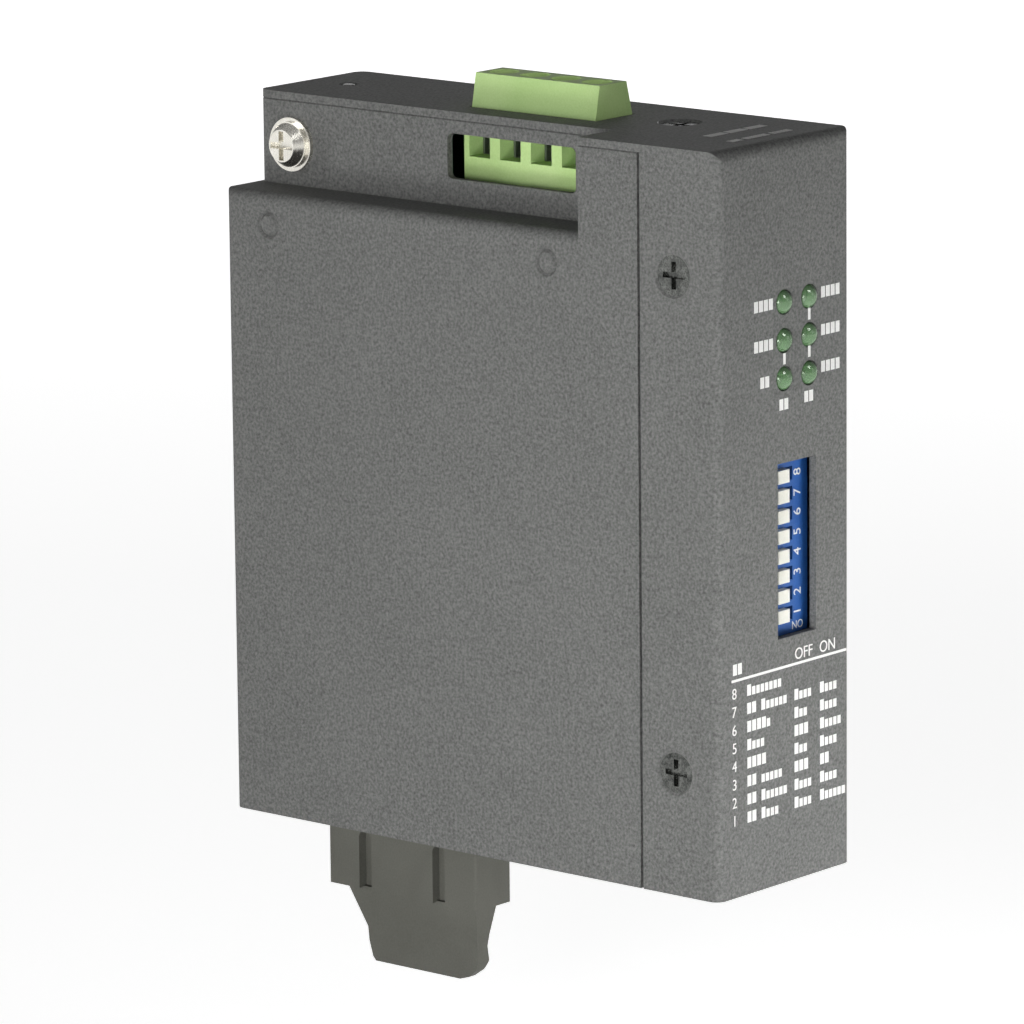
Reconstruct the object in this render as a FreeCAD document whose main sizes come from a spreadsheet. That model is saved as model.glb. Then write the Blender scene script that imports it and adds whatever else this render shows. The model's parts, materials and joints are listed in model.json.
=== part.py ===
import FreeCAD, Part
import Sketcher
import os

# A fibre media converter for a mounting rail, in millimetres.
#
# The pieces are drawn in the case's own frame: x runs from the big left side to the right side,
# y from the front plate to the rear wall, and z from the bottom plate to the top plate. Every
# finished piece is then shifted so that the origin is where the rail's face seats on the clip.
#
# A size that starts with = is worked out from the sizes above it: a place near the top plate
# follows the case's height, and a place beside the main board follows the case's width.

SIZES = {
    # The folded case
    "case_width": 27.0,
    "case_depth": 81.0,
    "case_height": 94.0,
    "skin": 1.0,
    "bend": 1.5,
    "strip_depth": 12.0,
    "seam": 0.4,
    "notch_depth": "=case_width - 20.1",
    "notch_front": 21.8,
    "ledge_height": "=case_height - 12",
    "fold_gap": 0.2,
    # Cover screws and rivets
    "screw_radius": 1.5,
    "screw_length": 4.4,
    "screw_head_radius": 2.85,
    "screw_set_back": 6.9,
    "screw_high": "=case_height - 15.8",
    "screw_low": 15.6,
    "tab_height": 11.0,
    "thread_play": 0.05,
    "top_screw_back": 19.2,
    "top_tab_reach": 4.4,
    "countersink_land": 0.05,
    "screw_sink": 0.3,
    "rivet_radius": 1.5,
    "rivet_bevel": 0.35,
    "rivet_height": "=ledge_height - 4.1",
    "rivet_front": 27.0,
    "rivet_rear": "=case_depth - 7.6",
    "top_rivet_back": "=case_depth - 6.7",
    "top_rivet_radius": 1.0,
    # Earth screw on the recessed side
    "earth_back": "=case_depth - 5.9",
    "earth_height": "=ledge_height + 5.35",
    "earth_head_radius": 3.0,
    "earth_washer_radius": 3.5,
    "earth_thread_radius": 2.0,
    # Window of the recessed side
    "window_front": 27.8,
    "window_rear": 48.9,
    "window_low": "=case_height - 8.6",
    "window_high": "=case_height - 2.8",
    "window_round": 0.8,
    # Boards
    "standoff_height": 4.2,
    "standoff_radius": 2.5,
    "board_thick": 1.6,
    "board_front": 9.0,
    "board_rear": "=case_depth - 2",
    "board_low": 3.0,
    "board_high": "=case_height - 2.1",
    "front_board_face": 7.0,
    "front_board_high": "=case_height - 17.7",
    "front_board_left": 5.0,
    "front_board_right": "=case_width - 5",
    # Lamps
    "lamp_radius": 1.5,
    "lamp_play": 0.1,
    "lamp_proud": 0.9,
    "lamp_left": "=case_width - 13.6",
    "lamp_pitch_x": 5.0,
    "lamp_low": "=case_height - 29.8",
    "lamp_pitch_z": 4.8,
    # Eight-way switch
    "ways": 8,
    "switch_pitch": 2.54,
    "switch_low": "=case_height * 0.6 - 22.68",
    "switch_face": 1.9,
    "switch_left": "=case_width - 16.3",
    "switch_width": 9.9,
    "lever_width": 2.4,
    "lever_height": 1.66,
    "lever_left": "=switch_left + 2.7",
    "lever_proud": 0.9,
    "lever_travel": 1.5,
    "lever_play": 0.06,
    "panel_left": "=switch_left + 1.3",
    "panel_right": "=switch_left + 9",
    "panel_low": "=switch_low - 2.32",
    "panel_high": "=switch_low + 19.88",
    "front_board_low": "=switch_low - 22.72",
    # Power terminal
    "poles": 4,
    "pole_pitch": 5.08,
    "terminal_front": 28.4,
    "terminal_face": "=case_width - 17",
    "terminal_low": "=case_height - 10",
    "terminal_proud": 4.3,
    "terminal_base_left": "=case_width - 15.4",
    "terminal_crown_left": "=case_width - 14.6",
    "terminal_crown_right": "=case_width - 9.3",
    "terminal_base_right": "=case_width - 8.2",
    "funnel_width": 3.4,
    "funnel_low": "=case_height - 6.1",
    "funnel_high": "=case_height - 1.7",
    "clamp_axis": "=case_width - 12",
    "cage_width": 4.0,
    "cage_length": 4.4,
    "cage_wall": 0.5,
    "cage_floor": 1.0,
    "cage_window": 3.5,
    "clamp_travel": 2.4,
    "clamp_play": 0.1,
    "clamp_screw_radius": 1.2,
    "clamp_head_radius": 1.85,
    "clamp_head_thick": 1.5,
    "neck_wall": 0.8,
    "crown_sink": 0.8,
    "bar_thick": 0.8,
    "bar_width": 2.2,
    # Duplex fibre port
    "fibre_middle": 62.6,
    "fibre_width": 25.4,
    "fibre_thick": 9.8,
    "fibre_length": 39.0,
    "port_pitch": 12.7,
    "port_width": 9.0,
    "port_height": 7.4,
    "port_depth": 20.0,
    "port_middle": "=case_width - 11.45",
    "port_play": 0.3,
    # Dust plug
    "plug_thick": 7.1,
    "plug_height": 11.75,
    "plug_reach": 11.0,
    "plug_clear": 0.1,
    "groove_width": 2.1,
    "groove_depth": 1.4,
    "groove_height": 7.9,
    "tab_length": 9.9,
    # Network jack
    "jack_middle": 30.0,
    "jack_width": 16.0,
    "jack_thick": 13.4,
    "jack_length": 21.5,
    "jack_shell": 0.3,
    "plug_hole_width": 11.8,
    "plug_hole_height": 6.8,
    "plug_hole_depth": 14.0,
    # Rail clip
    "rail_height": 35.0,
    "rail_sheet": 1.0,
    "rail_middle": "=case_height / 2",
    "clip_middle": "=case_width - 10",
    "clip_width": 14.0,
    "clip_plate": 2.0,
    "clip_top": "=rail_middle + 21.5",
    "clip_low": "=rail_middle - 32",
    "clip_depth": 3.4,
    "hook_gap": 0.2,
    "hook_overlap": 2.6,
    "hook_play": 0.3,
    "latch_width": 8.8,
    "latch_flange": 1.1,
    "latch_flange_thick": 1.2,
    "latch_play": 0.08,
    "latch_pull": 2.0,
    "latch_travel": 4.0,
    "latch_overlap": 2.0,
    "spring_radius": 1.1,
    "spring_wire": 0.22,
    "spring_turns": 7,
    "spring_length": 8.0,
}

doc = FreeCAD.newDocument("media_converter")
sheet = doc.addObject("Spreadsheet::Sheet", "Sizes")
for row, (size_name, size_value) in enumerate(SIZES.items(), start=1):
    sheet.set(f"A{row}", size_name)
    sheet.set(f"B{row}", str(size_value))
    sheet.setAlias(f"B{row}", size_name)
doc.recompute()


class Size:
    """A length, with the formula that gives it from the sheet's cells."""

    def __init__(self, formula, number):
        self.formula = formula
        self.number = number

    def joined(self, sign, other, number):
        return Size(f"({self.formula} {sign} {sized(other).formula})", number)

    def __add__(self, other):
        return self.joined("+", other, self.number + float(other))

    def __sub__(self, other):
        return self.joined("-", other, self.number - float(other))

    def __mul__(self, other):
        return self.joined("*", other, self.number * float(other))

    def __truediv__(self, other):
        return self.joined("/", other, self.number / float(other))

    def __radd__(self, other):
        return sized(other) + self

    def __rsub__(self, other):
        return sized(other) - self

    def __rmul__(self, other):
        return sized(other) * self

    def __neg__(self):
        return sized(0) - self

    def __float__(self):
        return float(self.number)


def sized(value):
    """A plain number as a Size, so that sums can mix both."""
    return value if isinstance(value, Size) else Size(repr(value), float(value))


class Cells:
    """The sheet's cells by name: cell.skin is the size in the cell called skin."""

    def __getattr__(self, name):
        return Size(f"Sizes.{name}", float(sheet.get(name)))


cell = Cells()
near = 1e-4


def bind(item, path, value):
    """Tie one property of a piece to the formula of a size."""
    if isinstance(value, Size):
        item.setExpression(path, value.formula)
    else:
        item.setExpression(path, repr(float(value)))


# Where the pieces meet, worked out from the sheet

right_inside = cell.case_width - cell.skin
rear_inside = cell.case_depth - cell.skin
top_inside = cell.case_height - cell.skin
shell_front = cell.strip_depth + cell.seam
panel_inside = cell.notch_depth + cell.skin
narrow_middle = (cell.notch_depth + cell.case_width) / 2
board_back = right_inside - cell.standoff_height
board_face = board_back - cell.board_thick
terminal_rear = cell.terminal_front + cell.poles * cell.pole_pitch
terminal_top = cell.case_height + cell.terminal_proud
head_seat = terminal_top - cell.crown_sink - cell.clamp_head_thick
cage_ceiling = head_seat - cell.neck_wall
cage_low = cell.funnel_low - cell.cage_floor
cage_high = cage_ceiling - 2 * cell.clamp_play - cell.clamp_travel
bar_low = cell.funnel_low + cell.clamp_travel + cell.clamp_play
fibre_left = board_face - cell.fibre_thick
jack_left = board_face - cell.jack_thick
rail_face = cell.case_depth + cell.clip_plate
hook_low = rail_face + cell.rail_sheet + cell.hook_gap
clip_rear = rail_face + cell.clip_depth
origin = (cell.clip_middle, rail_face, cell.rail_middle)


def settle(item, label):
    """Name a finished piece and shift it to the origin on the rail."""
    item.Label = label
    for axis, place in zip("xyz", origin):
        bind(item, f"Placement.Base.{axis}", -place)
    finished.append(item)
    return item


finished = []


# Sketched pieces

PLANES = {"XY": "XY_Plane", "XZ": "XZ_Plane", "YZ": "YZ_Plane"}


def new_body(label):
    body = doc.addObject("PartDesign::Body", label + "_body")
    return settle(body, label)


def new_sketch(body, plane, level):
    """A sketch on one of the body's own planes, moved along the plane's normal to a level.

    On the XZ plane the normal points to the front, so the level is taken with its sign turned.
    """
    sketch = body.newObject("Sketcher::SketchObject", body.Name + "_sketch")
    for feature in body.Origin.OriginFeatures:
        if feature.Role == PLANES[plane]:
            sketch.AttachmentSupport = [(feature, "")]
    sketch.MapMode = "FlatFace"
    bind(sketch, "AttachmentOffset.Base.z", -sized(level) if plane == "XZ" else level)
    return sketch


def pin_point(sketch, geometry, vertex, place):
    """Hold a point of the sketch at its two distances from the sketch's origin."""
    for kind, distance in zip(("DistanceX", "DistanceY"), place):
        rule = sketch.addConstraint(
            Sketcher.Constraint(kind, -1, 1, geometry, vertex, float(distance))
        )
        bind(sketch, f"Constraints[{rule}]", distance)


def outline(sketch, corners):
    """A closed outline of straight lines through the corners."""
    spots = [FreeCAD.Vector(float(x), float(y), 0) for x, y in corners]
    count = len(spots)
    for index, spot in enumerate(spots):
        sketch.addGeometry(Part.LineSegment(spot, spots[(index + 1) % count]), False)
    for index in range(count):
        following = (index + 1) % count
        sketch.addConstraint(Sketcher.Constraint("Coincident", index, 2, following, 1))
    for index, corner in enumerate(corners):
        pin_point(sketch, index, 1, corner)


def rings(sketch, centres, radius):
    """Circles of one radius about each centre."""
    for x, y in centres:
        centre = FreeCAD.Vector(float(x), float(y), 0)
        circle = Part.Circle(centre, FreeCAD.Vector(0, 0, 1), float(radius))
        index = sketch.addGeometry(circle, False)
        pin_point(sketch, index, 3, (x, y))
        rule = sketch.addConstraint(Sketcher.Constraint("Radius", index, float(radius)))
        bind(sketch, f"Constraints[{rule}]", radius)


def feature(body, kind, sketch, length):
    made = body.newObject("PartDesign::" + kind, body.Name + "_" + kind.lower())
    made.Profile = sketch
    made.Type = 0
    bind(made, "Length", length)
    sketch.Visibility = False
    return made


def grow(body, plane, draw, start, end):
    """Add material between two levels, over what draw puts in the sketch."""
    sketch = new_sketch(body, plane, end if plane == "XZ" else start)
    draw(sketch)
    return feature(body, "Pad", sketch, sized(end) - start)


def carve(body, plane, draw, start, end):
    """Take material away between two levels, over what draw puts in the sketch."""
    sketch = new_sketch(body, plane, start if plane == "XZ" else end)
    draw(sketch)
    return feature(body, "Pocket", sketch, sized(end) - start)


def shape(corners):
    return lambda sketch: outline(sketch, corners)


def oblong(low_x, low_y, high_x, high_y):
    return shape([(low_x, low_y), (high_x, low_y), (high_x, high_y), (low_x, high_y)])


def circles(centres, radius):
    return lambda sketch: rings(sketch, centres, radius)


def edges_along(solid, **place):
    """Names of the edges whose two ends both lie at the given x, y or z."""
    names = []
    for index, edge in enumerate(solid.Edges, start=1):
        ends = [vertex.Point for vertex in edge.Vertexes]
        found = len(ends) == 2
        for end in ends:
            for axis, value in place.items():
                found = found and abs(getattr(end, axis) - float(value)) < near
        if found:
            names.append(f"Edge{index}")
    return names


def round_off(body, radius, places, kind="Fillet"):
    """Round or bevel the edges found at each of the places."""
    doc.recompute()
    tip = body.Tip
    solid = tip.Shape
    names = []
    for place in places:
        found = edges_along(solid, **place)
        if not found:
            raise ValueError(f"{body.Label} has no edge at {place}")
        names += [name for name in found if name not in names]
    made = body.newObject("PartDesign::" + kind, body.Name + "_" + kind.lower())
    made.Base = (tip, names)
    bind(made, "Radius" if kind == "Fillet" else "Size", radius)
    return made


# Plain solids and what joins them

def block(low, high):
    """A box between its lowest and highest corners."""
    item = doc.addObject("Part::Box", "block")
    for side, start, end in zip(("Length", "Width", "Height"), low, high):
        bind(item, side, sized(end) - start)
    for axis, start in zip("xyz", low):
        bind(item, f"Placement.Base.{axis}", start)
    return item


TURNS = {
    "x": FreeCAD.Rotation(FreeCAD.Vector(0, 1, 0), 90),
    "y": FreeCAD.Rotation(FreeCAD.Vector(1, 0, 0), -90),
    "z": FreeCAD.Rotation(),
    "-x": FreeCAD.Rotation(FreeCAD.Vector(0, 1, 0), -90),
    "-y": FreeCAD.Rotation(FreeCAD.Vector(1, 0, 0), 90),
    "-z": FreeCAD.Rotation(FreeCAD.Vector(1, 0, 0), 180),
}


def put(item, base, direction):
    item.Placement = FreeCAD.Placement(FreeCAD.Vector(), TURNS[direction])
    for axis, start in zip("xyz", base):
        bind(item, f"Placement.Base.{axis}", start)
    return item


def rod(base, direction, radius, length):
    item = doc.addObject("Part::Cylinder", "rod")
    bind(item, "Radius", radius)
    bind(item, "Height", length)
    return put(item, base, direction)


def taper(base, direction, start_radius, end_radius, length):
    item = doc.addObject("Part::Cone", "taper")
    bind(item, "Radius1", start_radius)
    bind(item, "Radius2", end_radius)
    bind(item, "Height", length)
    return put(item, base, direction)


def fuse(items):
    if len(items) == 1:
        return items[0]
    item = doc.addObject("Part::MultiFuse", "fused")
    item.Shapes = items
    return item


def cut(base, tool):
    item = doc.addObject("Part::Cut", "trimmed")
    item.Base = base
    item.Tool = tool
    return item


def group(label, items):
    """Several like pieces as separate solids in one node."""
    item = doc.addObject("Part::Compound", label + "_group")
    item.Links = items
    return settle(item, label)


def moved(base, direction, along):
    """A point at a distance along a direction from a base point."""
    sign = -1 if direction.startswith("-") else 1
    point = list(base)
    index = "xyz".index(direction[-1])
    point[index] = sized(point[index]) + sign * sized(along)
    return tuple(point)


def cross_slot(base, direction, reach, depth):
    """The cross in a screw's head: two crossed bars going down from the head's face."""
    half_width = reach * 0.21
    index = "xyz".index(direction[-1])
    sign = -1 if direction.startswith("-") else 1
    bars = []
    for long_axis in range(3):
        if long_axis == index:
            continue
        low = []
        high = []
        for axis in range(3):
            if axis == index:
                start = sized(base[axis])
                end = start + sign * depth
                low.append(end if sign < 0 else start)
                high.append(start if sign < 0 else end)
            else:
                half = reach if axis == long_axis else half_width
                low.append(sized(base[axis]) - half)
                high.append(sized(base[axis]) + half)
        bars.append(block(low, high))
    return fuse(bars)


def flat_screw(face, direction):
    """A countersunk cross-head screw, sunk a little below a face's point; direction is its way in."""
    crown = moved(face, direction, cell.screw_sink)
    head_depth = cell.skin - cell.screw_sink
    root = cell.screw_radius - cell.thread_play
    shank = rod(crown, direction, root, cell.screw_length - cell.screw_sink)
    wide = cell.screw_head_radius - cell.screw_sink
    head = taper(crown, direction, wide, cell.screw_head_radius - cell.skin, head_depth)
    return cut(fuse([shank, head]), cross_slot(crown, direction, cell.screw_head_radius * 0.6, 0.6))


# The folded case

cover_screw_heights = (cell.screw_low, cell.screw_high)


def main_shell():
    """Left side with its stepped recess, rear wall, right side and bottom plate, in one sheet."""
    body = new_body("main_shell")
    front = shell_front
    rear = cell.case_depth
    right = cell.case_width
    step = cell.notch_depth
    step_front = cell.notch_front
    ledge = cell.ledge_height
    skin = cell.skin

    grow(body, "XY", oblong(0, front, right, rear), 0, ledge)
    stepped = [(0, front), (right, front), (right, rear), (step, rear), (step, step_front)]
    grow(body, "XY", shape(stepped + [(0, step_front)]), ledge, top_inside)
    round_off(body, cell.bend, [
        {"x": 0, "y": rear},
        {"x": step, "y": rear},
        {"x": right, "y": rear},
        {"x": 0, "z": ledge},
    ])

    wall_left = skin
    wall_right = right_inside
    opening = front - skin
    hollow = [(wall_left, opening), (wall_right, opening), (wall_right, rear_inside)]
    low_hollow = hollow + [(wall_left, rear_inside)]
    carve(body, "XY", shape(low_hollow), skin, ledge - skin)
    step_wall = step_front - skin
    high_hollow = hollow + [(panel_inside, rear_inside), (panel_inside, step_wall)]
    high_hollow = high_hollow + [(wall_left, step_wall)]
    carve(body, "XY", shape(high_hollow), ledge - skin - skin / 4, top_inside)
    inner_bend = cell.bend - skin
    round_off(body, inner_bend, [
        {"x": wall_left, "y": rear_inside},
        {"x": panel_inside, "y": rear_inside},
        {"x": wall_right, "y": rear_inside},
    ])

    # The bottom plate runs on to the front plate, between the cover's strips
    tongue_left = skin + cell.fold_gap
    tongue_right = right_inside - cell.fold_gap
    tongue_front = skin + cell.fold_gap
    grow(body, "XY", oblong(tongue_left, tongue_front, tongue_right, front + skin), 0, skin)

    # Four tabs behind the cover's strips take the cover screws
    for height in cover_screw_heights:
        low = height - cell.tab_height / 2
        for near_side in (skin, right_inside - skin):
            flat = oblong(near_side, skin * 2, near_side + skin, front + skin * 3)
            grow(body, "XY", flat, low, low + cell.tab_height)

    # Tabs under the top plate take its screw and its rivet
    reach = cell.top_tab_reach
    for back in (cell.top_screw_back, cell.top_rivet_back):
        flat = oblong(narrow_middle - reach, back - reach, right_inside + skin / 2, back + reach)
        grow(body, "XY", flat, top_inside - skin, top_inside)

    # Openings for the window, the fibre port and the network jack
    window = oblong(cell.window_front, cell.window_low, cell.window_rear, cell.window_high)
    carve(body, "YZ", window, step - skin, panel_inside)
    round_off(body, cell.window_round, [
        {"y": side, "z": level}
        for side in (cell.window_front, cell.window_rear)
        for level in (cell.window_low, cell.window_high)
    ])
    half_port = cell.fibre_width / 2 + cell.port_play
    port = oblong(fibre_left - cell.port_play, cell.fibre_middle - half_port,
                  board_face + cell.port_play, cell.fibre_middle + half_port)
    carve(body, "XY", port, 0, skin)
    half_jack = cell.jack_width / 2 + cell.port_play
    jack = oblong(jack_left - cell.port_play, cell.jack_middle - half_jack,
                  board_face + cell.port_play, cell.jack_middle + half_jack)
    carve(body, "XY", jack, 0, skin)

    # Holes for screws, rivets, the earth screw and the board's standoffs
    screw_spots = [(cell.screw_set_back, height) for height in cover_screw_heights]
    carve(body, "YZ", circles(screw_spots, cell.screw_radius), 0, skin * 2)
    carve(body, "YZ", circles(screw_spots, cell.screw_radius), right_inside - skin, right)
    rivets = [(cell.rivet_front, cell.rivet_height), (cell.rivet_rear, cell.rivet_height)]
    carve(body, "YZ", circles(rivets, cell.rivet_radius), 0, skin)
    earth = [(cell.earth_back, cell.earth_height)]
    carve(body, "YZ", circles(earth, earth_hole), step - skin, panel_inside)
    top_hole = [(narrow_middle, cell.top_screw_back)]
    carve(body, "XY", circles(top_hole, cell.screw_radius), top_inside - skin, top_inside)
    top_rivet = [(narrow_middle, cell.top_rivet_back)]
    carve(body, "XY", circles(top_rivet, cell.top_rivet_radius), top_inside - skin, top_inside)
    carve(body, "YZ", circles(standoff_spots, standoff_root), right_inside, right)
    clip_holes = [(cell.clip_middle, height) for height in clip_screw_heights]
    carve(body, "XZ", circles(clip_holes, cell.screw_radius), rear_inside, rear)
    bevel_rings(body, cell.rivet_radius, cell.rivet_bevel)

    # The sheet's upper edge is broken, which draws the line of the joint below the top plate
    round_off(body, cell.seam / 2, [
        {"x": step, "z": top_inside},
        {"x": right, "z": top_inside},
        {"x": 0, "z": top_inside},
        {"y": step_front, "z": top_inside},
        {"y": rear, "z": top_inside},
    ], "Chamfer")
    return body


earth_hole = cell.earth_thread_radius + 1.0
standoff_root = cell.standoff_radius - 0.6
standoff_spots = [
    (cell.strip_depth + 6.5, cell.board_low + 7.0),
    (cell.strip_depth + 6.5, cell.board_high - 6.0),
    (cell.board_rear - 5.0, cell.board_high - 6.0),
    (cell.fibre_middle - cell.fibre_width / 2 - 5.2, cell.board_low + 7.0),
]
clip_screw_heights = (cell.rail_middle - 8.0, cell.rail_middle + 10.0)


def front_cover():
    """Front plate, the two side strips and the long top plate, in one folded sheet."""
    body = new_body("front_cover")
    skin = cell.skin
    right = cell.case_width
    rear = cell.case_depth
    top = cell.case_height
    strip = cell.strip_depth

    grow(body, "XY", oblong(0, 0, right, strip), 0, top)
    plate = [(0, strip - skin), (right, strip - skin), (right, rear), (cell.notch_depth, rear)]
    plate = plate + [(cell.notch_depth, cell.notch_front), (0, cell.notch_front)]
    grow(body, "XY", shape(plate), top_inside, top)
    round_off(body, cell.bend, [
        {"x": cell.notch_depth, "y": rear},
        {"x": right, "y": rear},
        {"x": 0, "y": 0},
        {"x": right, "y": 0},
        {"y": 0, "z": top},
    ])
    carve(body, "XY", oblong(skin, skin, right_inside, strip + skin), 0, top_inside)
    round_off(body, cell.bend - skin, [
        {"x": skin, "y": skin},
        {"x": right_inside, "y": skin},
        {"y": skin, "z": top_inside},
    ])

    # Lamp holes and the switch's window
    lamp_hole = cell.lamp_radius + cell.lamp_play
    carve(body, "XZ", circles(lamp_spots, lamp_hole), 0, skin)
    panel = oblong(cell.panel_left, cell.panel_low, cell.panel_right, cell.panel_high)
    carve(body, "XZ", panel, 0, skin)

    # Slot for the terminal in the top plate
    slot = oblong(cell.terminal_base_left - cell.port_play, cell.terminal_front - cell.port_play,
                  cell.terminal_base_right + cell.port_play, terminal_rear + cell.port_play)
    carve(body, "XY", slot, top_inside, top)

    # Countersunk holes: a round hole, then a bevel round its outer edge
    neck = cell.screw_head_radius - skin + cell.countersink_land
    spots = [(cell.screw_set_back, height) for height in cover_screw_heights]
    carve(body, "YZ", circles(spots, neck), 0, right)
    carve(body, "XY", circles([(narrow_middle, cell.top_screw_back)], neck), top_inside, top)
    rivet = [(narrow_middle, cell.top_rivet_back)]
    carve(body, "XY", circles(rivet, cell.top_rivet_radius), top_inside, top)
    bevel_rings(body, neck, skin - cell.countersink_land)
    bevel_rings(body, cell.top_rivet_radius, cell.rivet_bevel)
    return body


lamp_spots = [
    (cell.lamp_left + column * cell.lamp_pitch_x, cell.lamp_low + level * cell.lamp_pitch_z)
    for column in range(2)
    for level in range(3)
]


def bevel_rings(body, radius, size):
    """Bevel the outer edge of every round hole of one radius, in the sides and the top plate."""
    doc.recompute()
    tip = body.Tip
    names = []
    for index, edge in enumerate(tip.Shape.Edges, start=1):
        if not isinstance(edge.Curve, Part.Circle):
            continue
        if abs(edge.Curve.Radius - float(radius)) > near:
            continue
        middle = edge.CenterOfMass
        on_left = abs(middle.x) < near
        on_right = abs(middle.x - float(cell.case_width)) < near
        on_top = abs(middle.z - float(cell.case_height)) < near
        if on_left or on_right or on_top:
            names.append(f"Edge{index}")
    made = body.newObject("PartDesign::Chamfer", body.Name + "_countersink")
    made.Base = (tip, names)
    bind(made, "Size", size)
    return made


def stiffener_angle():
    """The riveted angle behind the ledge: one leg on the side, one under the ledge."""
    body = new_body("stiffener_angle")
    left = cell.skin
    under = cell.ledge_height - cell.skin
    leg = cell.ledge_height - cell.rivet_height + cell.rivet_radius * 2
    corners = [(left, under), (left, under - leg), (left + cell.skin, under - leg)]
    corners = corners + [(left + cell.skin, under - cell.skin), (panel_inside, under - cell.skin)]
    corners = corners + [(panel_inside, under)]
    front = cell.notch_front + cell.skin
    rear = rear_inside - cell.bend
    grow(body, "XZ", shape(corners), front, rear)
    round_off(body, cell.bend / 2, [{"x": left, "z": under}])
    rivets = [(cell.rivet_front, cell.rivet_height), (cell.rivet_rear, cell.rivet_height)]
    carve(body, "YZ", circles(rivets, cell.rivet_radius), left, left + cell.skin)
    return body


def shell_rivets():
    items = []
    for back in (cell.rivet_front, cell.rivet_rear):
        base = (0, back, cell.rivet_height)
        items.append(flat_rivet(base, "x", cell.rivet_radius, 1.3, cell.skin * 0.8))
    return group("shell_rivets", items)


def flat_rivet(face, direction, radius, spread, closed_thick):
    """A rivet through two sheets: bevelled face, shank, and its closed head on the inner sheet."""
    bevel = cell.rivet_bevel
    rim = taper(face, direction, radius - bevel, radius, bevel)
    shank = rod(moved(face, direction, bevel), direction, radius, cell.skin * 2 - bevel)
    inside = moved(face, direction, cell.skin * 2)
    closed = taper(inside, direction, radius * spread, radius, closed_thick)
    return fuse([rim, shank, closed])


def top_rivet():
    base = (narrow_middle, cell.top_rivet_back, cell.case_height)
    return settle(flat_rivet(base, "-z", cell.top_rivet_radius, 1.6, cell.skin), "top_rivet")


def cover_screws():
    items = []
    for height in cover_screw_heights:
        items.append(flat_screw((0, cell.screw_set_back, height), "x"))
        items.append(flat_screw((cell.case_width, cell.screw_set_back, height), "-x"))
    items.append(flat_screw((narrow_middle, cell.top_screw_back, cell.case_height), "-z"))
    return group("cover_screws", items)


def earth_fittings():
    """Pan head screw, toothed washer and the clinch nut behind the recessed side."""
    washer_thick = 0.6
    head_thick = 1.7
    collar_thick = 0.5
    face = (cell.notch_depth, cell.earth_back, cell.earth_height)
    thread = cell.earth_thread_radius

    washer = rod(face, "-x", cell.earth_washer_radius, washer_thick)
    settle(cut(washer, rod(face, "-x", thread + cell.thread_play, washer_thick)), "earth_washer")

    collar_face = moved(face, "-x", washer_thick)
    collar = rod(collar_face, "-x", cell.earth_head_radius, collar_thick)
    dome_face = moved(collar_face, "-x", collar_thick)
    dome_low = cell.earth_head_radius * 0.95
    dome_high = cell.earth_head_radius * 0.7
    dome = taper(dome_face, "-x", dome_low, dome_high, head_thick - collar_thick)
    stem_length = washer_thick + cell.skin + 4.0
    stem = rod(moved(face, "-x", washer_thick), "x", thread, stem_length)
    crown = moved(collar_face, "-x", head_thick)
    head = cut(fuse([collar, dome, stem]), cross_slot(crown, "x", dome_high * 0.9, 1.1))
    settle(head, "earth_screw")

    hole = thread + cell.thread_play
    sleeve = rod(face, "x", earth_hole, cell.skin)
    back = moved(face, "x", cell.skin)
    flange = rod(back, "x", earth_hole + 1.2, 2.4)
    bore = rod(face, "x", hole, cell.skin + 2.4)
    settle(cut(fuse([sleeve, flange]), bore), "earth_nut")


# Boards

def main_board():
    body = new_body("main_board")
    outer = oblong(cell.board_front, cell.board_low, cell.board_rear, cell.board_high)
    grow(body, "YZ", outer, board_face, board_back)
    round_off(body, 1.0, [
        {"y": side, "z": level}
        for side in (cell.board_front, cell.board_rear)
        for level in (cell.board_low, cell.board_high)
    ])
    carve(body, "YZ", circles(standoff_spots, cell.screw_radius + 0.1), board_face, board_back)
    holes = []
    for pole in range(int(SIZES["poles"])):
        holes.append((pole_middle(pole), bar_low + cell.bar_thick / 2))
    carve(body, "YZ", circles(holes, bar_hole), board_face, board_back)
    _, header_row = header_spots()
    for spots in (fibre_pin_spots(), jack_pin_spots(), header_row):
        carve(body, "YZ", circles(spots, pin_hole), board_face, board_back)
    return body


pin_radius = sized(0.3)
pin_hole = sized(0.45)
bar_hole = sized(0.8)


def pole_middle(pole):
    return cell.terminal_front + (pole + 0.5) * cell.pole_pitch


def fibre_pin_spots():
    """Nine pins in a row across the inner end of the transceiver."""
    row_height = cell.fibre_length - 3.0
    return [(cell.fibre_middle + (pin - 4) * 2.54, row_height) for pin in range(9)]


def jack_pin_spots():
    """Eight pins in two staggered rows behind the network jack."""
    spots = []
    for pin in range(8):
        height = cell.jack_length - (3.0 if pin % 2 else 5.5)
        spots.append((cell.jack_middle + (pin - 3.5) * 1.27, height))
    return spots


def board_standoffs():
    items = []
    for back, height in standoff_spots:
        outer_end = (cell.case_width, back, height)
        root = rod(outer_end, "-x", standoff_root, cell.skin)
        column = rod((right_inside, back, height), "-x", cell.standoff_radius, cell.standoff_height)
        bore = rod((board_back, back, height), "x", cell.screw_radius, cell.standoff_height)
        items.append(cut(fuse([root, column]), bore))
    return group("board_standoffs", items)


def board_screws():
    items = []
    head_thick = 1.6
    for back, height in standoff_spots:
        seat = (board_face, back, height)
        head = rod(seat, "-x", cell.standoff_radius + 0.2, head_thick)
        shank = rod(seat, "x", cell.screw_radius - cell.thread_play, cell.board_thick + 3.2)
        crown = moved(seat, "-x", head_thick)
        items.append(cut(fuse([head, shank]), cross_slot(crown, "x", sized(1.5), 0.9)))
    return group("board_screws", items)


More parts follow.
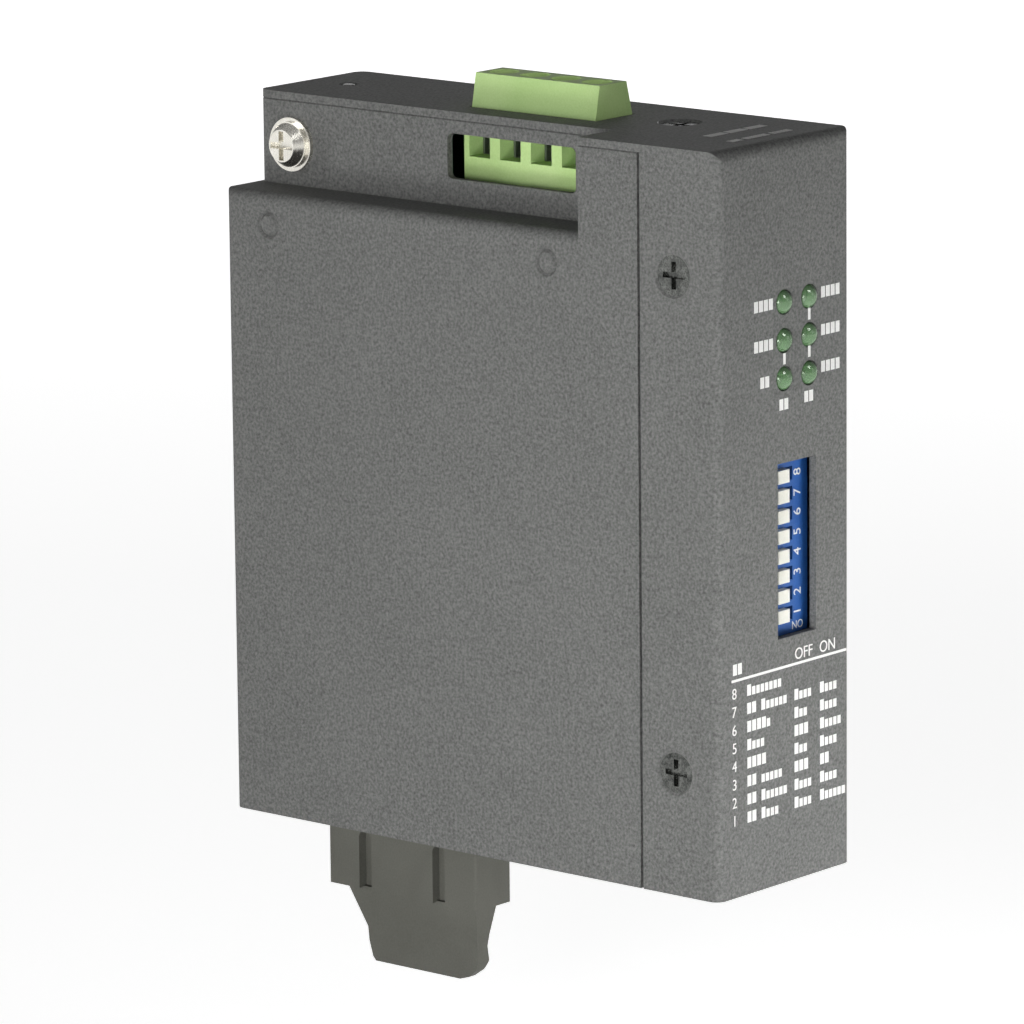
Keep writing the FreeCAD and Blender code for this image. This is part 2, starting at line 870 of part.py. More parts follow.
def front_board():
    body = new_body("front_board")
    face = cell.front_board_face
    back = face + cell.board_thick
    plate = oblong(cell.front_board_left, cell.front_board_low,
                   cell.front_board_right, cell.front_board_high)
    grow(body, "XZ", plate, face, back)
    front_row, _ = header_spots()
    carve(body, "XZ", circles(lamp_lead_spots() + switch_pin_spots(), pin_hole), face, back)
    carve(body, "XZ", circles(front_row, pin_hole), face, back)
    return body


def lamp_lead_spots():
    spots = []
    for x, z in lamp_spots:
        spots += [(x, z - 1.27), (x, z + 1.27)]
    return spots


def switch_pin_spots():
    spots = []
    middle = cell.switch_left + cell.switch_width / 2
    for way in range(int(SIZES["ways"])):
        level = cell.switch_low + way * cell.switch_pitch
        spots += [(middle - 3.81, level), (middle + 3.81, level)]
    return spots


def board_header():
    """Right-angled header between the two boards: a bar with six bent pins."""
    back = cell.front_board_face + cell.board_thick
    low = cell.front_board_low + 1.5
    pitch = 2.54
    half_pin = 0.3
    pieces = [block((board_face - pitch, back, low), (board_face, back + pitch, low + 6 * pitch))]
    for pin in range(6):
        level = low + (pin + 0.5) * pitch
        column = back + pitch / 2
        row = board_face - pitch / 2
        pieces.append(block((row - half_pin, cell.front_board_face - 1.2, level - half_pin),
                            (row + half_pin, back, level + half_pin)))
        pieces.append(block((board_face, column - half_pin, level - half_pin),
                            (board_back + 1.2, column + half_pin, level + half_pin)))
    return settle(fuse(pieces), "board_header")


def header_spots():
    """Where the header's pins pass through: rows on the front board and on the main board."""
    back = cell.front_board_face + cell.board_thick
    low = cell.front_board_low + 1.5
    pitch = 2.54
    levels = [low + (pin + 0.5) * pitch for pin in range(6)]
    front_row = [(board_face - pitch / 2, level) for level in levels]
    main_row = [(back + pitch / 2, level) for level in levels]
    return front_row, main_row


# Lamps

def lamps():
    items = []
    spacers = []
    flange_thick = 1.0
    barrel_end = 4.2
    back = cell.front_board_face
    for x, z in lamp_spots:
        tip = cell.lamp_radius - cell.lamp_proud
        barrel = rod((x, tip, z), "y", cell.lamp_radius, barrel_end - tip)
        dome = doc.addObject("Part::Sphere", "dome")
        bind(dome, "Radius", cell.lamp_radius)
        put(dome, (x, tip, z), "z")
        flange = rod((x, barrel_end - flange_thick, z), "y", cell.lamp_radius + 0.35, flange_thick)
        items.append(fuse([barrel, dome, flange]))
        spacers.append(rod((x, barrel_end, z), "y", cell.lamp_radius + 0.6, back - barrel_end))
    group("lamps", items)
    leads = []
    for x, z in lamp_lead_spots():
        leads.append(rod((x, barrel_end, z), "y", pin_radius, back + 3.0 - barrel_end))
    holes = [rod((x, barrel_end, z), "y", pin_radius, back - barrel_end)
             for x, z in lamp_lead_spots()]
    drilled = []
    for index, spacer in enumerate(spacers):
        drilled.append(cut(spacer, fuse(holes[2 * index:2 * index + 2])))
    group("lamp_spacers", drilled)
    group("lamp_leads", leads)


# Eight-way switch

def switch_body():
    """Blue moulding with a slot for each lever, its lower floor holding the lever's foot."""
    body = new_body("switch_body")
    face = cell.switch_face
    back = cell.front_board_face
    left = cell.switch_left
    right = left + cell.switch_width
    low = cell.switch_low - cell.switch_pitch / 2 - 1.3
    high = cell.switch_low + (cell.ways - 0.5) * cell.switch_pitch + 1.3
    grow(body, "XZ", oblong(left, low, right, high), face, back)
    round_off(body, 0.3, [{"x": left, "y": face}, {"x": right, "y": face}])
    for way in range(int(SIZES["ways"])):
        level = cell.switch_low + way * cell.switch_pitch
        half = cell.lever_height / 2 + cell.lever_play
        start = cell.lever_left - cell.lever_play
        end = cell.lever_left + cell.lever_width + cell.lever_travel + cell.lever_play
        carve(body, "XZ", oblong(start, level - half, end, level + half), face, lever_foot)
    return body


lever_foot = cell.front_board_face - 1.6


def switch_levers():
    for way in range(int(SIZES["ways"])):
        level = cell.switch_low + way * cell.switch_pitch
        half = cell.lever_height / 2
        body = new_body(f"switch_lever_{way + 1}")
        front = cell.switch_face - cell.lever_proud
        right = cell.lever_left + cell.lever_width
        foot = lever_foot - cell.lever_play
        plan = oblong(cell.lever_left, level - half, right, level + half)
        grow(body, "XZ", plan, front, foot)
        round_off(body, 0.2, [{"x": cell.lever_left, "y": front}, {"x": right, "y": front}])


def switch_pins():
    items = []
    for x, z in switch_pin_spots():
        face = cell.front_board_face
        items.append(rod((x, face, z), "y", pin_radius, cell.board_thick + 1.4))
    return group("switch_pins", items)


# Power terminal with rising clamp cages

def terminal_housing():
    body = new_body("terminal_housing")
    low = cell.terminal_low
    shoulder = top_inside - cell.fold_gap
    foot = board_face
    profile = [
        (cell.terminal_face, low),
        (foot, low),
        (foot, shoulder),
        (cell.terminal_base_right, shoulder),
        (cell.terminal_base_right, cell.case_height),
        (cell.terminal_crown_right, terminal_top),
        (cell.terminal_crown_left, terminal_top),
        (cell.terminal_base_left, cell.case_height),
        (cell.terminal_base_left, shoulder),
        (cell.terminal_face, shoulder),
    ]
    grow(body, "XZ", shape(profile), cell.terminal_front, terminal_rear)
    well = cell.clamp_head_radius + cell.clamp_play
    half_length = cell.cage_length / 2 + cell.clamp_play
    cavity_left = cell.clamp_axis - half_length
    cavity_right = cell.clamp_axis + half_length
    half_cage = cell.cage_width / 2 + cell.clamp_play
    half_funnel = cell.funnel_width / 2
    half_bar = cell.bar_width / 2
    for pole in range(int(SIZES["poles"])):
        middle = pole_middle(pole)
        cavity = oblong(cavity_left, middle - half_cage, cavity_right, middle + half_cage)
        carve(body, "XY", cavity, cage_low - cell.clamp_play, cage_ceiling)
        funnel = oblong(middle - half_funnel, cell.funnel_low,
                        middle + half_funnel, cell.funnel_high)
        carve(body, "YZ", funnel, cell.terminal_face, cavity_left)
        bar = oblong(middle - half_bar, bar_low, middle + half_bar, bar_low + cell.bar_thick)
        carve(body, "YZ", bar, cavity_right, foot)
        axis = [(cell.clamp_axis, middle)]
        carve(body, "XY", circles(axis, well), head_seat, terminal_top)
        carve(body, "XY", circles(axis, neck_hole), cage_ceiling, head_seat)
    return body


neck_hole = cell.clamp_screw_radius + cell.thread_play


def clamp_cages():
    """Each cage is a square frame: the screw lifts its floor towards the contact bar."""
    for pole in range(int(SIZES["poles"])):
        middle = pole_middle(pole)
        half = cell.cage_width / 2
        half_length = cell.cage_length / 2
        body = new_body(f"clamp_cage_{pole + 1}")
        left = cell.clamp_axis - half_length
        right = cell.clamp_axis + half_length
        plan = oblong(left, middle - half, right, middle + half)
        grow(body, "XY", plan, cage_low, cage_high)
        inner = half - cell.cage_wall
        window = oblong(middle - inner, cell.funnel_low, middle + inner,
                        cell.funnel_low + cell.cage_window)
        carve(body, "YZ", window, left, right)
        hole = [(cell.clamp_axis, middle)]
        roof = cell.funnel_low + cell.cage_window
        carve(body, "XY", circles(hole, neck_hole), roof, cage_high)


def clamp_screws():
    for pole in range(int(SIZES["poles"])):
        middle = pole_middle(pole)
        seat = (cell.clamp_axis, middle, head_seat)
        head = rod(seat, "z", cell.clamp_head_radius, cell.clamp_head_thick)
        shank_end = bar_low + cell.bar_thick + cell.clamp_play
        shank = rod((cell.clamp_axis, middle, shank_end), "z", cell.clamp_screw_radius,
                    head_seat - shank_end)
        crown = head_seat + cell.clamp_head_thick
        slot_half = 0.3
        slot_depth = 0.8
        slot = block(
            (cell.clamp_axis - cell.clamp_head_radius, middle - slot_half, crown - slot_depth),
            (cell.clamp_axis + cell.clamp_head_radius, middle + slot_half, crown),
        )
        settle(cut(fuse([head, shank]), slot), f"clamp_screw_{pole + 1}")


def contact_bars():
    """A flat bar through each cage, which runs on as the solder pin through the board."""
    items = []
    bar_left = cell.clamp_axis - cell.cage_length / 2 + 0.3
    for pole in range(int(SIZES["poles"])):
        middle = pole_middle(pole)
        half = cell.bar_width / 2
        bar = block((bar_left, middle - half, bar_low),
                    (board_face, middle + half, bar_low + cell.bar_thick))
        pin = block((board_face, middle - 0.5, bar_low),
                    (board_back + 1.4, middle + 0.5, bar_low + cell.bar_thick))
        items.append(fuse([bar, pin]))
    return group("contact_bars", items)


# Duplex fibre port and its dust plug

def port_middles():
    half = cell.port_pitch / 2
    return (cell.fibre_middle - half, cell.fibre_middle + half)


def fibre_transceiver():
    body = new_body("fibre_transceiver")
    half = cell.fibre_width / 2
    low_y = cell.fibre_middle - half
    high_y = cell.fibre_middle + half
    grow(body, "XY", oblong(fibre_left, low_y, board_face, high_y), 0, cell.fibre_length)
    # The inner half is a lower casting with a rounded lid
    lid_drop = 1.2
    lid_start = cell.port_depth + 4.0
    lid = oblong(fibre_left, low_y, fibre_left + lid_drop, high_y)
    carve(body, "XY", lid, lid_start, cell.fibre_length)
    round_off(body, 1.0, [
        {"x": fibre_left + lid_drop, "y": low_y},
        {"x": fibre_left + lid_drop, "y": high_y},
    ])
    half_height = cell.port_height / 2
    half_width = cell.port_width / 2
    keyway = cell.groove_width / 2
    for middle in port_middles():
        mouth = oblong(cell.port_middle - half_height, middle - half_width,
                       cell.port_middle + half_height, middle + half_width)
        carve(body, "XY", mouth, 0, cell.port_depth)
        key = oblong(fibre_left, middle - keyway, cell.port_middle, middle + keyway)
        carve(body, "XY", key, 0, cell.groove_height)
    return body


def port_sleeves():
    """The two round sleeves that take the fibres' tips, at the ends of the ports."""
    items = []
    length = 7.0
    base_thick = 1.0
    outer_radius = 2.2
    bore_radius = 1.26
    for middle in port_middles():
        base = (cell.port_middle, middle, cell.port_depth - length)
        outer = rod(base, "z", outer_radius, length)
        bore = rod(base, "z", bore_radius, length - base_thick)
        items.append(cut(outer, bore))
    return group("port_sleeves", items)


def transceiver_pins():
    items = []
    for back, height in fibre_pin_spots():
        length = cell.board_thick + 1.5
        items.append(rod((board_face, back, height), "x", pin_radius, length))
    return group("transceiver_pins", items)


def dust_plug():
    """Two prongs, a thick collar with two grooves, and a waisted pull tab."""
    body = new_body("dust_plug")
    half = cell.fibre_width / 2
    front = cell.fibre_middle - half
    rear = cell.fibre_middle + half
    left = cell.port_middle - cell.plug_thick / 2
    right = cell.port_middle + cell.plug_thick / 2
    foot = -cell.plug_height
    grow(body, "XY", oblong(left, front, right, rear), foot, -cell.plug_clear)
    round_off(body, 0.4, [
        {"x": side, "y": end} for side in (left, right) for end in (front, rear)
    ])

    # Round-topped grooves, in line with the two ports
    groove_top = foot + cell.groove_height
    radius = cell.groove_width / 2
    for middle in port_middles():
        straight = oblong(middle - radius, foot, middle + radius, groove_top - radius)
        carve(body, "YZ", straight, left, left + cell.groove_depth)
        top = [(middle, groove_top - radius)]
        carve(body, "YZ", circles(top, radius), left, left + cell.groove_depth)

    # Prongs in the ports
    half_width = cell.port_width / 2 - cell.plug_clear
    for middle in port_middles():
        prong = oblong(left, middle - half_width, right, middle + half_width)
        grow(body, "XY", prong, -cell.plug_clear * 2, cell.plug_reach)

    # Pull tab: seen from the side it narrows to a waist and ends in a bead
    end = foot - cell.tab_length
    waist = foot - cell.tab_length * 0.53
    bead = foot - cell.tab_length * 0.72
    profile = [
        (left + 0.65, foot + 0.2),
        (left + 4.8, foot + 0.2),
        (left + 4.8, foot),
        (left + 3.3, waist + 1.5),
        (left + 2.9, waist),
        (left + 3.2, bead),
        (left + 3.0, bead - 0.8),
        (left + 2.4, end + 0.9),
        (left + 1.8, end),
        (left + 1.3, end),
        (left + 0.95, end + 0.7),
        (left + 0.85, waist),
    ]
    tab_front = front + 0.55
    tab_rear = rear - 2.75
    grow(body, "XZ", shape(profile), tab_front, tab_rear)
    # Seen from the left the rear side slants in and the lower corners are cut
    slant = 3.2
    beyond = rear + 1.0
    slanted = [
        (tab_rear, foot),
        (tab_rear - slant, waist),
        (tab_rear - slant - 0.15, bead),
        (tab_rear - slant - 0.9, end),
        (beyond, end),
        (beyond, foot),
    ]
    carve(body, "YZ", shape(slanted), left, right)
    ahead = tab_front - 1.0
    chin = [
        (tab_front, end + 2.6),
        (tab_front + 0.5, end + 1.5),
        (tab_front + 1.6, end + 0.6),
        (tab_front + 3.4, end),
        (ahead, end),
        (ahead, end + 2.6),
    ]
    carve(body, "YZ", shape(chin), left, right)
    return body


# Network jack

def network_jack():
    """Moulded insert with the plug's hole, a bent metal shield and eight spring contacts."""
    half = cell.jack_width / 2
    shell = cell.jack_shell
    left = jack_left + shell
    front = cell.jack_middle - half
    rear = cell.jack_middle + half
    body = new_body("jack_insert")
    inner = oblong(left, front + shell, board_face, rear - shell)
    grow(body, "XY", inner, 0, cell.jack_length - shell)
    hole_half = cell.plug_hole_width / 2
    hole_left = jack_left + 2.4
    hole_right = hole_left + cell.plug_hole_height
    hole = oblong(hole_left, cell.jack_middle - hole_half, hole_right, cell.jack_middle + hole_half)
    carve(body, "XY", hole, 0, cell.plug_hole_depth)
    latch_half = 3.1
    latch = oblong(hole_right, cell.jack_middle - latch_half,
                   hole_right + 1.8, cell.jack_middle + latch_half)
    carve(body, "XY", latch, 0, cell.plug_hole_depth)
    # A shallow channel in the roof of the hole for each contact
    for x_low, x_high, y in contact_spots(hole_left):
        slot = oblong(x_low, y - 0.3, x_high, y + 0.3)
        carve(body, "XY", slot, 1.5, cell.plug_hole_depth)

    shield = new_body("jack_shield")
    grow(shield, "XY", oblong(jack_left, front, board_face, rear), 0, cell.jack_length)
    carve(shield, "XY", inner, 0, cell.jack_length - shell)

    contacts = []
    for x_low, x_high, y in contact_spots(hole_left):
        low = (x_low, y - 0.2, sized(3.0))
        high = (x_low + 0.35, y + 0.2, cell.plug_hole_depth)
        contacts.append(block(low, high))
    group("jack_contacts", contacts)

    pins = []
    for back, height in jack_pin_spots():
        length = cell.board_thick + 1.4
        pins.append(rod((board_face, back, height), "x", pin_radius, length))
    group("jack_pins", pins)


def contact_spots(hole_left):
    """Eight channels, 1.02 apart, cut into the wall on the left of the plug's hole."""
    spots = []
    for pin in range(8):
        spots.append((hole_left - 0.5, hole_left + 0.1, cell.jack_middle + (pin - 3.5) * 1.02))
    return spots


# Parts on the main board

def chip(label, back, height, width, length, thick, legs):
    """A flat moulded chip with legs along two sides, seated on the board's left face."""
    standing = 0.15
    top = board_face - standing - thick
    case = block((top, back - width / 2, height - length / 2),
                 (board_face - standing, back + width / 2, height + length / 2))
    leg_pieces = [case]
    for leg in range(legs):
        level = height + (leg - (legs - 1) / 2) * (length * 0.86 / legs)
        low = (board_face - standing - thick * 0.4, back - width / 2 - 0.9, level - 0.15)
        high = (board_face, back + width / 2 + 0.9, level + 0.15)
        leg_pieces.append(block(low, high))
    return settle(fuse(leg_pieces), label)


def board_parts():
    chip_above = cell.fibre_length + 17.0
    chip("converter_chip", cell.fibre_middle - 0.6, chip_above, 14.0, 14.0, 1.4, 16)
    transformer_above = cell.jack_length + 13.5
    chip("network_transformer", cell.jack_middle, transformer_above, 9.4, 12.7, 5.6, 8)
    regulator_level = (cell.fibre_length + cell.terminal_low * 2 - 21.0) / 3
    chip("power_regulator", cell.jack_middle + 11.2, regulator_level, 3.9, 4.9, 1.4, 4)

    # Three capacitors in a row below the terminal
    can_radius = 4.0
    can_height = 10.5
    shoulder = 0.6
    row_level = cell.terminal_low - 10.0
    cans = []
    for place in range(3):
        foot = (board_face, cell.jack_middle - 4.0 + 10.0 * place, row_level)
        can = rod(foot, "-x", can_radius, can_height - shoulder)
        lid = taper(moved(foot, "-x", can_height - shoulder), "-x", can_radius, can_radius - shoulder,
                    shoulder)
        cans.append(fuse([can, lid]))
    group("capacitors", cans)

    # The coil stands halfway between the transformer and the capacitors
    coil_level = (cell.jack_length + cell.terminal_low + 6.5) / 2
    coil_radius = 5.6
    coil_thick = 5.0
    base_half = 6.0
    base_thick = 0.8
    coil_outer = rod((board_face, cell.jack_middle, coil_level), "-x", coil_radius, coil_thick)
    coil_base = block(
        (board_face - base_thick, cell.jack_middle - base_half, coil_level - base_half),
        (board_face, cell.jack_middle + base_half, coil_level + base_half),
    )
    settle(fuse([coil_outer, coil_base]), "power_coil")

    can_half = 2.0
    can_reach = 3.3
    can_tall = 3.4
    level = (cell.fibre_length * 3 + cell.terminal_low + 3.0) / 4
    back = cell.jack_middle + 17.5
    ends = [rod((board_face, back, level + side * can_reach), "-x", can_half, can_tall)
            for side in (-1, 1)]
    middle = block((board_face - can_tall, back - can_half, level - can_reach),
                   (board_face, back + can_half, level + can_reach))
    settle(fuse(ends + [middle]), "clock_crystal")

    # Three diodes above each other, by the board's rear edge
    diode_pitch = 4.5
    diode_height = 2.6
    diode_depth = 4.4
    diode_thick = 2.2
    diode_rear = cell.board_rear - 3.4
    diodes = []
    for place in range(3):
        height = cell.terminal_low - 18.0 + place * diode_pitch
        diodes.append(block((board_face - diode_thick, diode_rear - diode_depth, height),
                            (board_face, diode_rear, height + diode_height)))
    group("input_diodes", diodes)


# Rail clip

clip_left = cell.clip_middle - cell.clip_width / 2
clip_right = cell.clip_middle + cell.clip_width / 2
rail_top = cell.rail_middle + cell.rail_height / 2
rail_bottom = cell.rail_middle - cell.rail_height / 2
latch_top = rail_bottom + cell.latch_overlap
tongue_low = rail_face + cell.latch_play
tongue_high = tongue_low + cell.latch_flange_thick
guide_half = cell.latch_width / 2 + cell.latch_play
tongue_half = cell.latch_width / 2 + cell.latch_flange
lug_low = cell.clip_low + 3.0
lug_high = lug_low + 1.6


def rail_clip():
    """Back plate with the fixed upper hook and, below, the two guides of the latch."""
    body = new_body("rail_clip")
    rear = cell.case_depth
    grow(body, "XZ", oblong(clip_left, cell.clip_low, clip_right, cell.clip_top), rear, rail_face)
    round_off(body, 1.5, [
        {"x": side, "z": level}
        for side in (clip_left, clip_right)
        for level in (cell.clip_low, cell.clip_top)
    ])
    # Upper hook: it stands off the plate and turns down behind the rail's edge
    hook_start = rail_top + cell.hook_play
    hook = [
        (rail_face - cell.skin / 2, hook_start),
        (rail_face - cell.skin / 2, cell.clip_top - 0.6),
        (clip_rear - 1.2, cell.clip_top - 0.6),
        (clip_rear, cell.clip_top - 1.8),
        (clip_rear, rail_top - cell.hook_overlap + 0.8),
        (clip_rear - 0.8, rail_top - cell.hook_overlap),
        (hook_low, rail_top - cell.hook_overlap),
        (hook_low, hook_start),
    ]
    grow(body, "YZ", shape(hook), clip_left, clip_right)

    # Guides: two rails with lips that hold the latch's side flanges
    guide_top = rail_bottom - cell.hook_play
    lip_low = tongue_high + cell.latch_play
    for side in (-1, 1):
        edge = cell.clip_middle + side * cell.clip_width / 2
        lip = cell.clip_middle + side * guide_half
        groove = cell.clip_middle + side * (tongue_half + cell.latch_play)
        corners = [
            (edge, rail_face - cell.skin / 2),
            (edge, clip_rear),
            (lip, clip_rear),
            (lip, lip_low),
            (groove, lip_low),
            (groove, rail_face - cell.skin / 2),
        ]
        grow(body, "XY", shape(corners), cell.clip_low + 1.5, guide_top)
    # Spring lug inside the latch's slot
    lug_half = spring_slot_half - 0.3
    lug = oblong(cell.clip_middle - lug_half, rail_face - cell.skin / 2,
                 cell.clip_middle + lug_half, clip_rear - 0.6)
    grow(body, "XY", lug, lug_low, lug_high)
    # Countersunk holes of the two clip screws
    for height in clip_screw_heights:
        hole = [(cell.clip_middle, height)]
        carve(body, "XZ", circles(hole, cell.screw_radius), rear, rail_face)
        carve(body, "XZ", circles(hole, cell.screw_head_radius), rail_face - 1.0, rail_face)
    return body


spring_slot_half = cell.spring_radius + cell.spring_wire + 0.35


def rail_latch():
    """Sliding latch: a bar with side flanges, a beak behind the rail and a pull at the bottom."""
    body = new_body("rail_latch")
    half = cell.latch_width / 2
    middle = cell.clip_middle
    grow(body, "XY", oblong(middle - half, tongue_low, middle + half, clip_rear),
         latch_bottom, guide_end)
    flanges = oblong(middle - tongue_half, tongue_low, middle + tongue_half, tongue_high)
    grow(body, "XY", flanges, cell.clip_low + 2.0, guide_end)
    beak = [
        (hook_low, guide_end - 1.0),
        (hook_low, latch_top),
        (hook_low + 0.6, latch_top),
        (clip_rear, guide_end + 0.3),
        (clip_rear, guide_end - 1.0),
    ]
    grow(body, "YZ", shape(beak), middle - half, middle + half)
    slot_low = lug_low - cell.hook_play
    slot_high = lug_high + cell.spring_length
    slot = oblong(middle - spring_slot_half, slot_low, middle + spring_slot_half, slot_high)
    carve(body, "XZ", slot, tongue_low, clip_rear)
    # Slot for a screwdriver in the pull
    pull = oblong(middle - 2.2, latch_bottom + 1.6, middle + 2.2, latch_bottom + 3.2)
    carve(body, "XZ", pull, tongue_low, clip_rear)
    round_off(body, 1.0, [
        {"x": middle - half, "z": latch_bottom},
        {"x": middle + half, "z": latch_bottom},
    ])
    return body


guide_end = rail_bottom - cell.hook_play
latch_bottom = cell.clip_low - cell.latch_travel - cell.latch_pull


def latch_spring():
    """Coil spring between the fixed lug and the top of the latch's slot."""
    spring_depth = rail_face + cell.clip_depth / 2
    coil = doc.addObject("Part::Helix", "coil")
    bind(coil, "Radius", cell.spring_radius)
    length = cell.spring_length - 2 * cell.spring_wire - 2 * cell.fold_gap
    bind(coil, "Height", length)
    bind(coil, "Pitch", length / cell.spring_turns)
    wire = doc.addObject("Part::Circle", "wire")
    bind(wire, "Radius", cell.spring_wire)
    wire.Placement = FreeCAD.Placement(FreeCAD.Vector(), TURNS["-y"])
    bind(wire, "Placement.Base.x", cell.spring_radius)
    sweep = doc.addObject("Part::Sweep", "spring_wire")
    sweep.Sections = [wire]
    sweep.Spine = (coil, ["Edge1"])
    sweep.Solid = True
    sweep.Frenet = True
    doc.recompute()
    holder = doc.addObject("Part::Compound", "latch_spring_group")
    holder.Links = [sweep]
    base = lug_high + cell.spring_wire + cell.fold_gap
    holder.Label = "latch_spring"
    places = (cell.clip_middle, spring_depth, base)
    for axis, place, shift in zip("xyz", places, origin):
        bind(holder, f"Placement.Base.{axis}", place - shift)
    finished.append(holder)
    return holder


def clip_screws():
    items = []
    for height in clip_screw_heights:
        seat = (cell.clip_middle, rail_face, height)
        head = rod(seat, "-y", cell.screw_head_radius - cell.thread_play, 1.0)
        shank = rod(seat, "-y", cell.screw_radius - cell.thread_play, cell.clip_plate + 3.0)
        items.append(cut(fuse([head, shank]), cross_slot(seat, "-y", sized(1.6), 0.7)))
    return group("clip_screws", items)


def check_document():
    """Stop if any feature failed or any finished piece is not a sound solid."""
    doc.recompute()
    for item in doc.Objects:
        bad = [state for state in item.State if state in ("Invalid", "Error")]
        if bad:
            raise RuntimeError(f"{item.Label} is {bad}")
    for item in finished:
        solid = item.Shape
        if solid.isNull() or not solid.isValid() or not solid.Solids:
            raise RuntimeError(f"{item.Label} has no sound solid")


main_shell()
front_cover()
stiffener_angle()
shell_rivets()
top_rivet()
cover_screws()
earth_fittings()
main_board()
board_standoffs()
board_screws()
front_board()
board_header()
lamps()
switch_body()
switch_levers()
switch_pins()
terminal_housing()
clamp_cages()
clamp_screws()
contact_bars()
fibre_transceiver()
port_sleeves()
transceiver_pins()
dust_plug()
network_jack()
board_parts()
rail_clip()
rail_latch()
latch_spring()
clip_screws()
check_document()

os.makedirs("parts", exist_ok=True)
for item in finished:
    item.Shape.exportStep(f"parts/{item.Label}.step")
    print(item.Label, len(item.Shape.Solids), round(item.Shape.Volume, 2))
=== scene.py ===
# %% [markdown]
# # The looks of a fibre media converter
#
# The converter is a slim box of folded sheet steel with a black powder coat. It hangs on a
# mounting rail in a control cabinet. The solids already have the right shape and place, so this
# script only adds what solids don't have: surfaces with grain and gloss, the white print on the
# front and the top, the small metal cups inside the lamps, a coil of wire in place of the solid
# spring, and a studio to look at it all.
#
# Every length is in metres, and every piece stays where the solids say it is.

import json
import math

import bpy
import numpy as np
from mathutils import Matrix, Vector


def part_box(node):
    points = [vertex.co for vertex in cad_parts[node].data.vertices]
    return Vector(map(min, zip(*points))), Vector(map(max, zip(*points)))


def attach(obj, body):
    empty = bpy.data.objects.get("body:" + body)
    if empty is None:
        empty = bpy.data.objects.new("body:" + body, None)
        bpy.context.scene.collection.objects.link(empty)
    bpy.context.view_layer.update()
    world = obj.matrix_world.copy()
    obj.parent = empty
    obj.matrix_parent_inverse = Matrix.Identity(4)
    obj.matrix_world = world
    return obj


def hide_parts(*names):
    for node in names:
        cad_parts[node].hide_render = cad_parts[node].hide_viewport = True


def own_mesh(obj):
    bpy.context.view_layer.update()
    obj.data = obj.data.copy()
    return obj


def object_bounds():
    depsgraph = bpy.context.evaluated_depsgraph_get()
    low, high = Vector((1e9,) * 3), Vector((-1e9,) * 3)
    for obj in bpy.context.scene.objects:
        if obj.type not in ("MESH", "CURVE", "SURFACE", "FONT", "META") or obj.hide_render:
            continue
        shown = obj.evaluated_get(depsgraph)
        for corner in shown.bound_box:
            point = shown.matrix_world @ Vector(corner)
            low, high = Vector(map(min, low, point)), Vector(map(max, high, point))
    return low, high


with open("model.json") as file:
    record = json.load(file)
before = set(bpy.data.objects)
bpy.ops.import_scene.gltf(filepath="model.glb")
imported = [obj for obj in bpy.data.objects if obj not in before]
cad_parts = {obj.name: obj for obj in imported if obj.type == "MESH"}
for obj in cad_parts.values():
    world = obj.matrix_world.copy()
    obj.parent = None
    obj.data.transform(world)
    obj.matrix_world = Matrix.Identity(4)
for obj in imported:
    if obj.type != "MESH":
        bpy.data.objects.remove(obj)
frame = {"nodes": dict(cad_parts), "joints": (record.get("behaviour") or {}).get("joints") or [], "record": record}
cad_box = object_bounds()
nodes = frame["nodes"]
scene = bpy.context.scene
print(len(nodes), "solid nodes, from", [round(v, 4) for v in cad_box[0]],
      "to", [round(v, 4) for v in cad_box[1]])

# %% [markdown]
# A maker measures the case from its own corner: across from the stepped left side, back from the
# front plate, and up from the bottom plate. The front cover starts at that corner, so its box
# gives the corner's place, and one helper turns millimetres on the case into places in the scene.

# %% Places on the case
MM = 0.001
CASE_CORNER = np.array(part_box("front_cover")[0])
CASE_TOP = (np.array(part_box("front_cover")[1]) - CASE_CORNER)[2] / MM
print("case corner", CASE_CORNER.round(4), "height in mm", round(CASE_TOP, 2))


def on_case(points):
    """Points in millimetres from the case's corner, as scene places: corner + point * 0.001."""
    return CASE_CORNER + np.asarray(points, float) * MM


# %% [markdown]
# ## Grain and gloss
#
# Powder coat is a dry powder that is baked until it flows together, so it keeps a fine orange
# peel, with grains a third of a millimetre wide. Moulded plastic has a much finer grain and slow,
# faint clouds where it cooled unevenly. Drawn or rolled metal has long fine lines.
#
# Each of these effects serves several materials, so each is a shader node group that is built
# once. A group takes a position and puts out a shade from 0 to 1 and a height for bumps. The
# materials keep their own shader and choose their own colours.

# %% Helpers for node sheets
def add_node(sheet, kind, **settings):
    """Add one node to a sheet and set its properties or its inputs by name."""
    node = sheet.nodes.new(kind)
    for name, value in settings.items():
        if hasattr(node, name):
            setattr(node, name, value)
        else:
            node.inputs[name.replace("_", " ")].default_value = value
    return node


def new_group(name, extra_inputs):
    """An empty node group: a Vector and some numbers go in, a Shade and a Height come out."""
    sheet = bpy.data.node_groups.new(name, "ShaderNodeTree")
    sheet.interface.new_socket("Vector", in_out="INPUT", socket_type="NodeSocketVector")
    for label, value in extra_inputs.items():
        socket = sheet.interface.new_socket(label, in_out="INPUT", socket_type="NodeSocketFloat")
        socket.default_value = value
    for label in ("Shade", "Height"):
        sheet.interface.new_socket(label, in_out="OUTPUT", socket_type="NodeSocketFloat")
    start = add_node(sheet, "NodeGroupInput")
    end = add_node(sheet, "NodeGroupOutput")
    return sheet, start, end


def blend_numbers(sheet, first, second, share):
    """Mix two number sockets: first * (1 - share) + second * share."""
    mix = add_node(sheet, "ShaderNodeMix", data_type="FLOAT")
    # A Mix node for numbers takes its share at input 0 and its two numbers at inputs 2 and 3
    mix.inputs[0].default_value = share
    sheet.links.new(first, mix.inputs[2])
    sheet.links.new(second, mix.inputs[3])
    return mix.outputs[0]


print("node helpers ready")

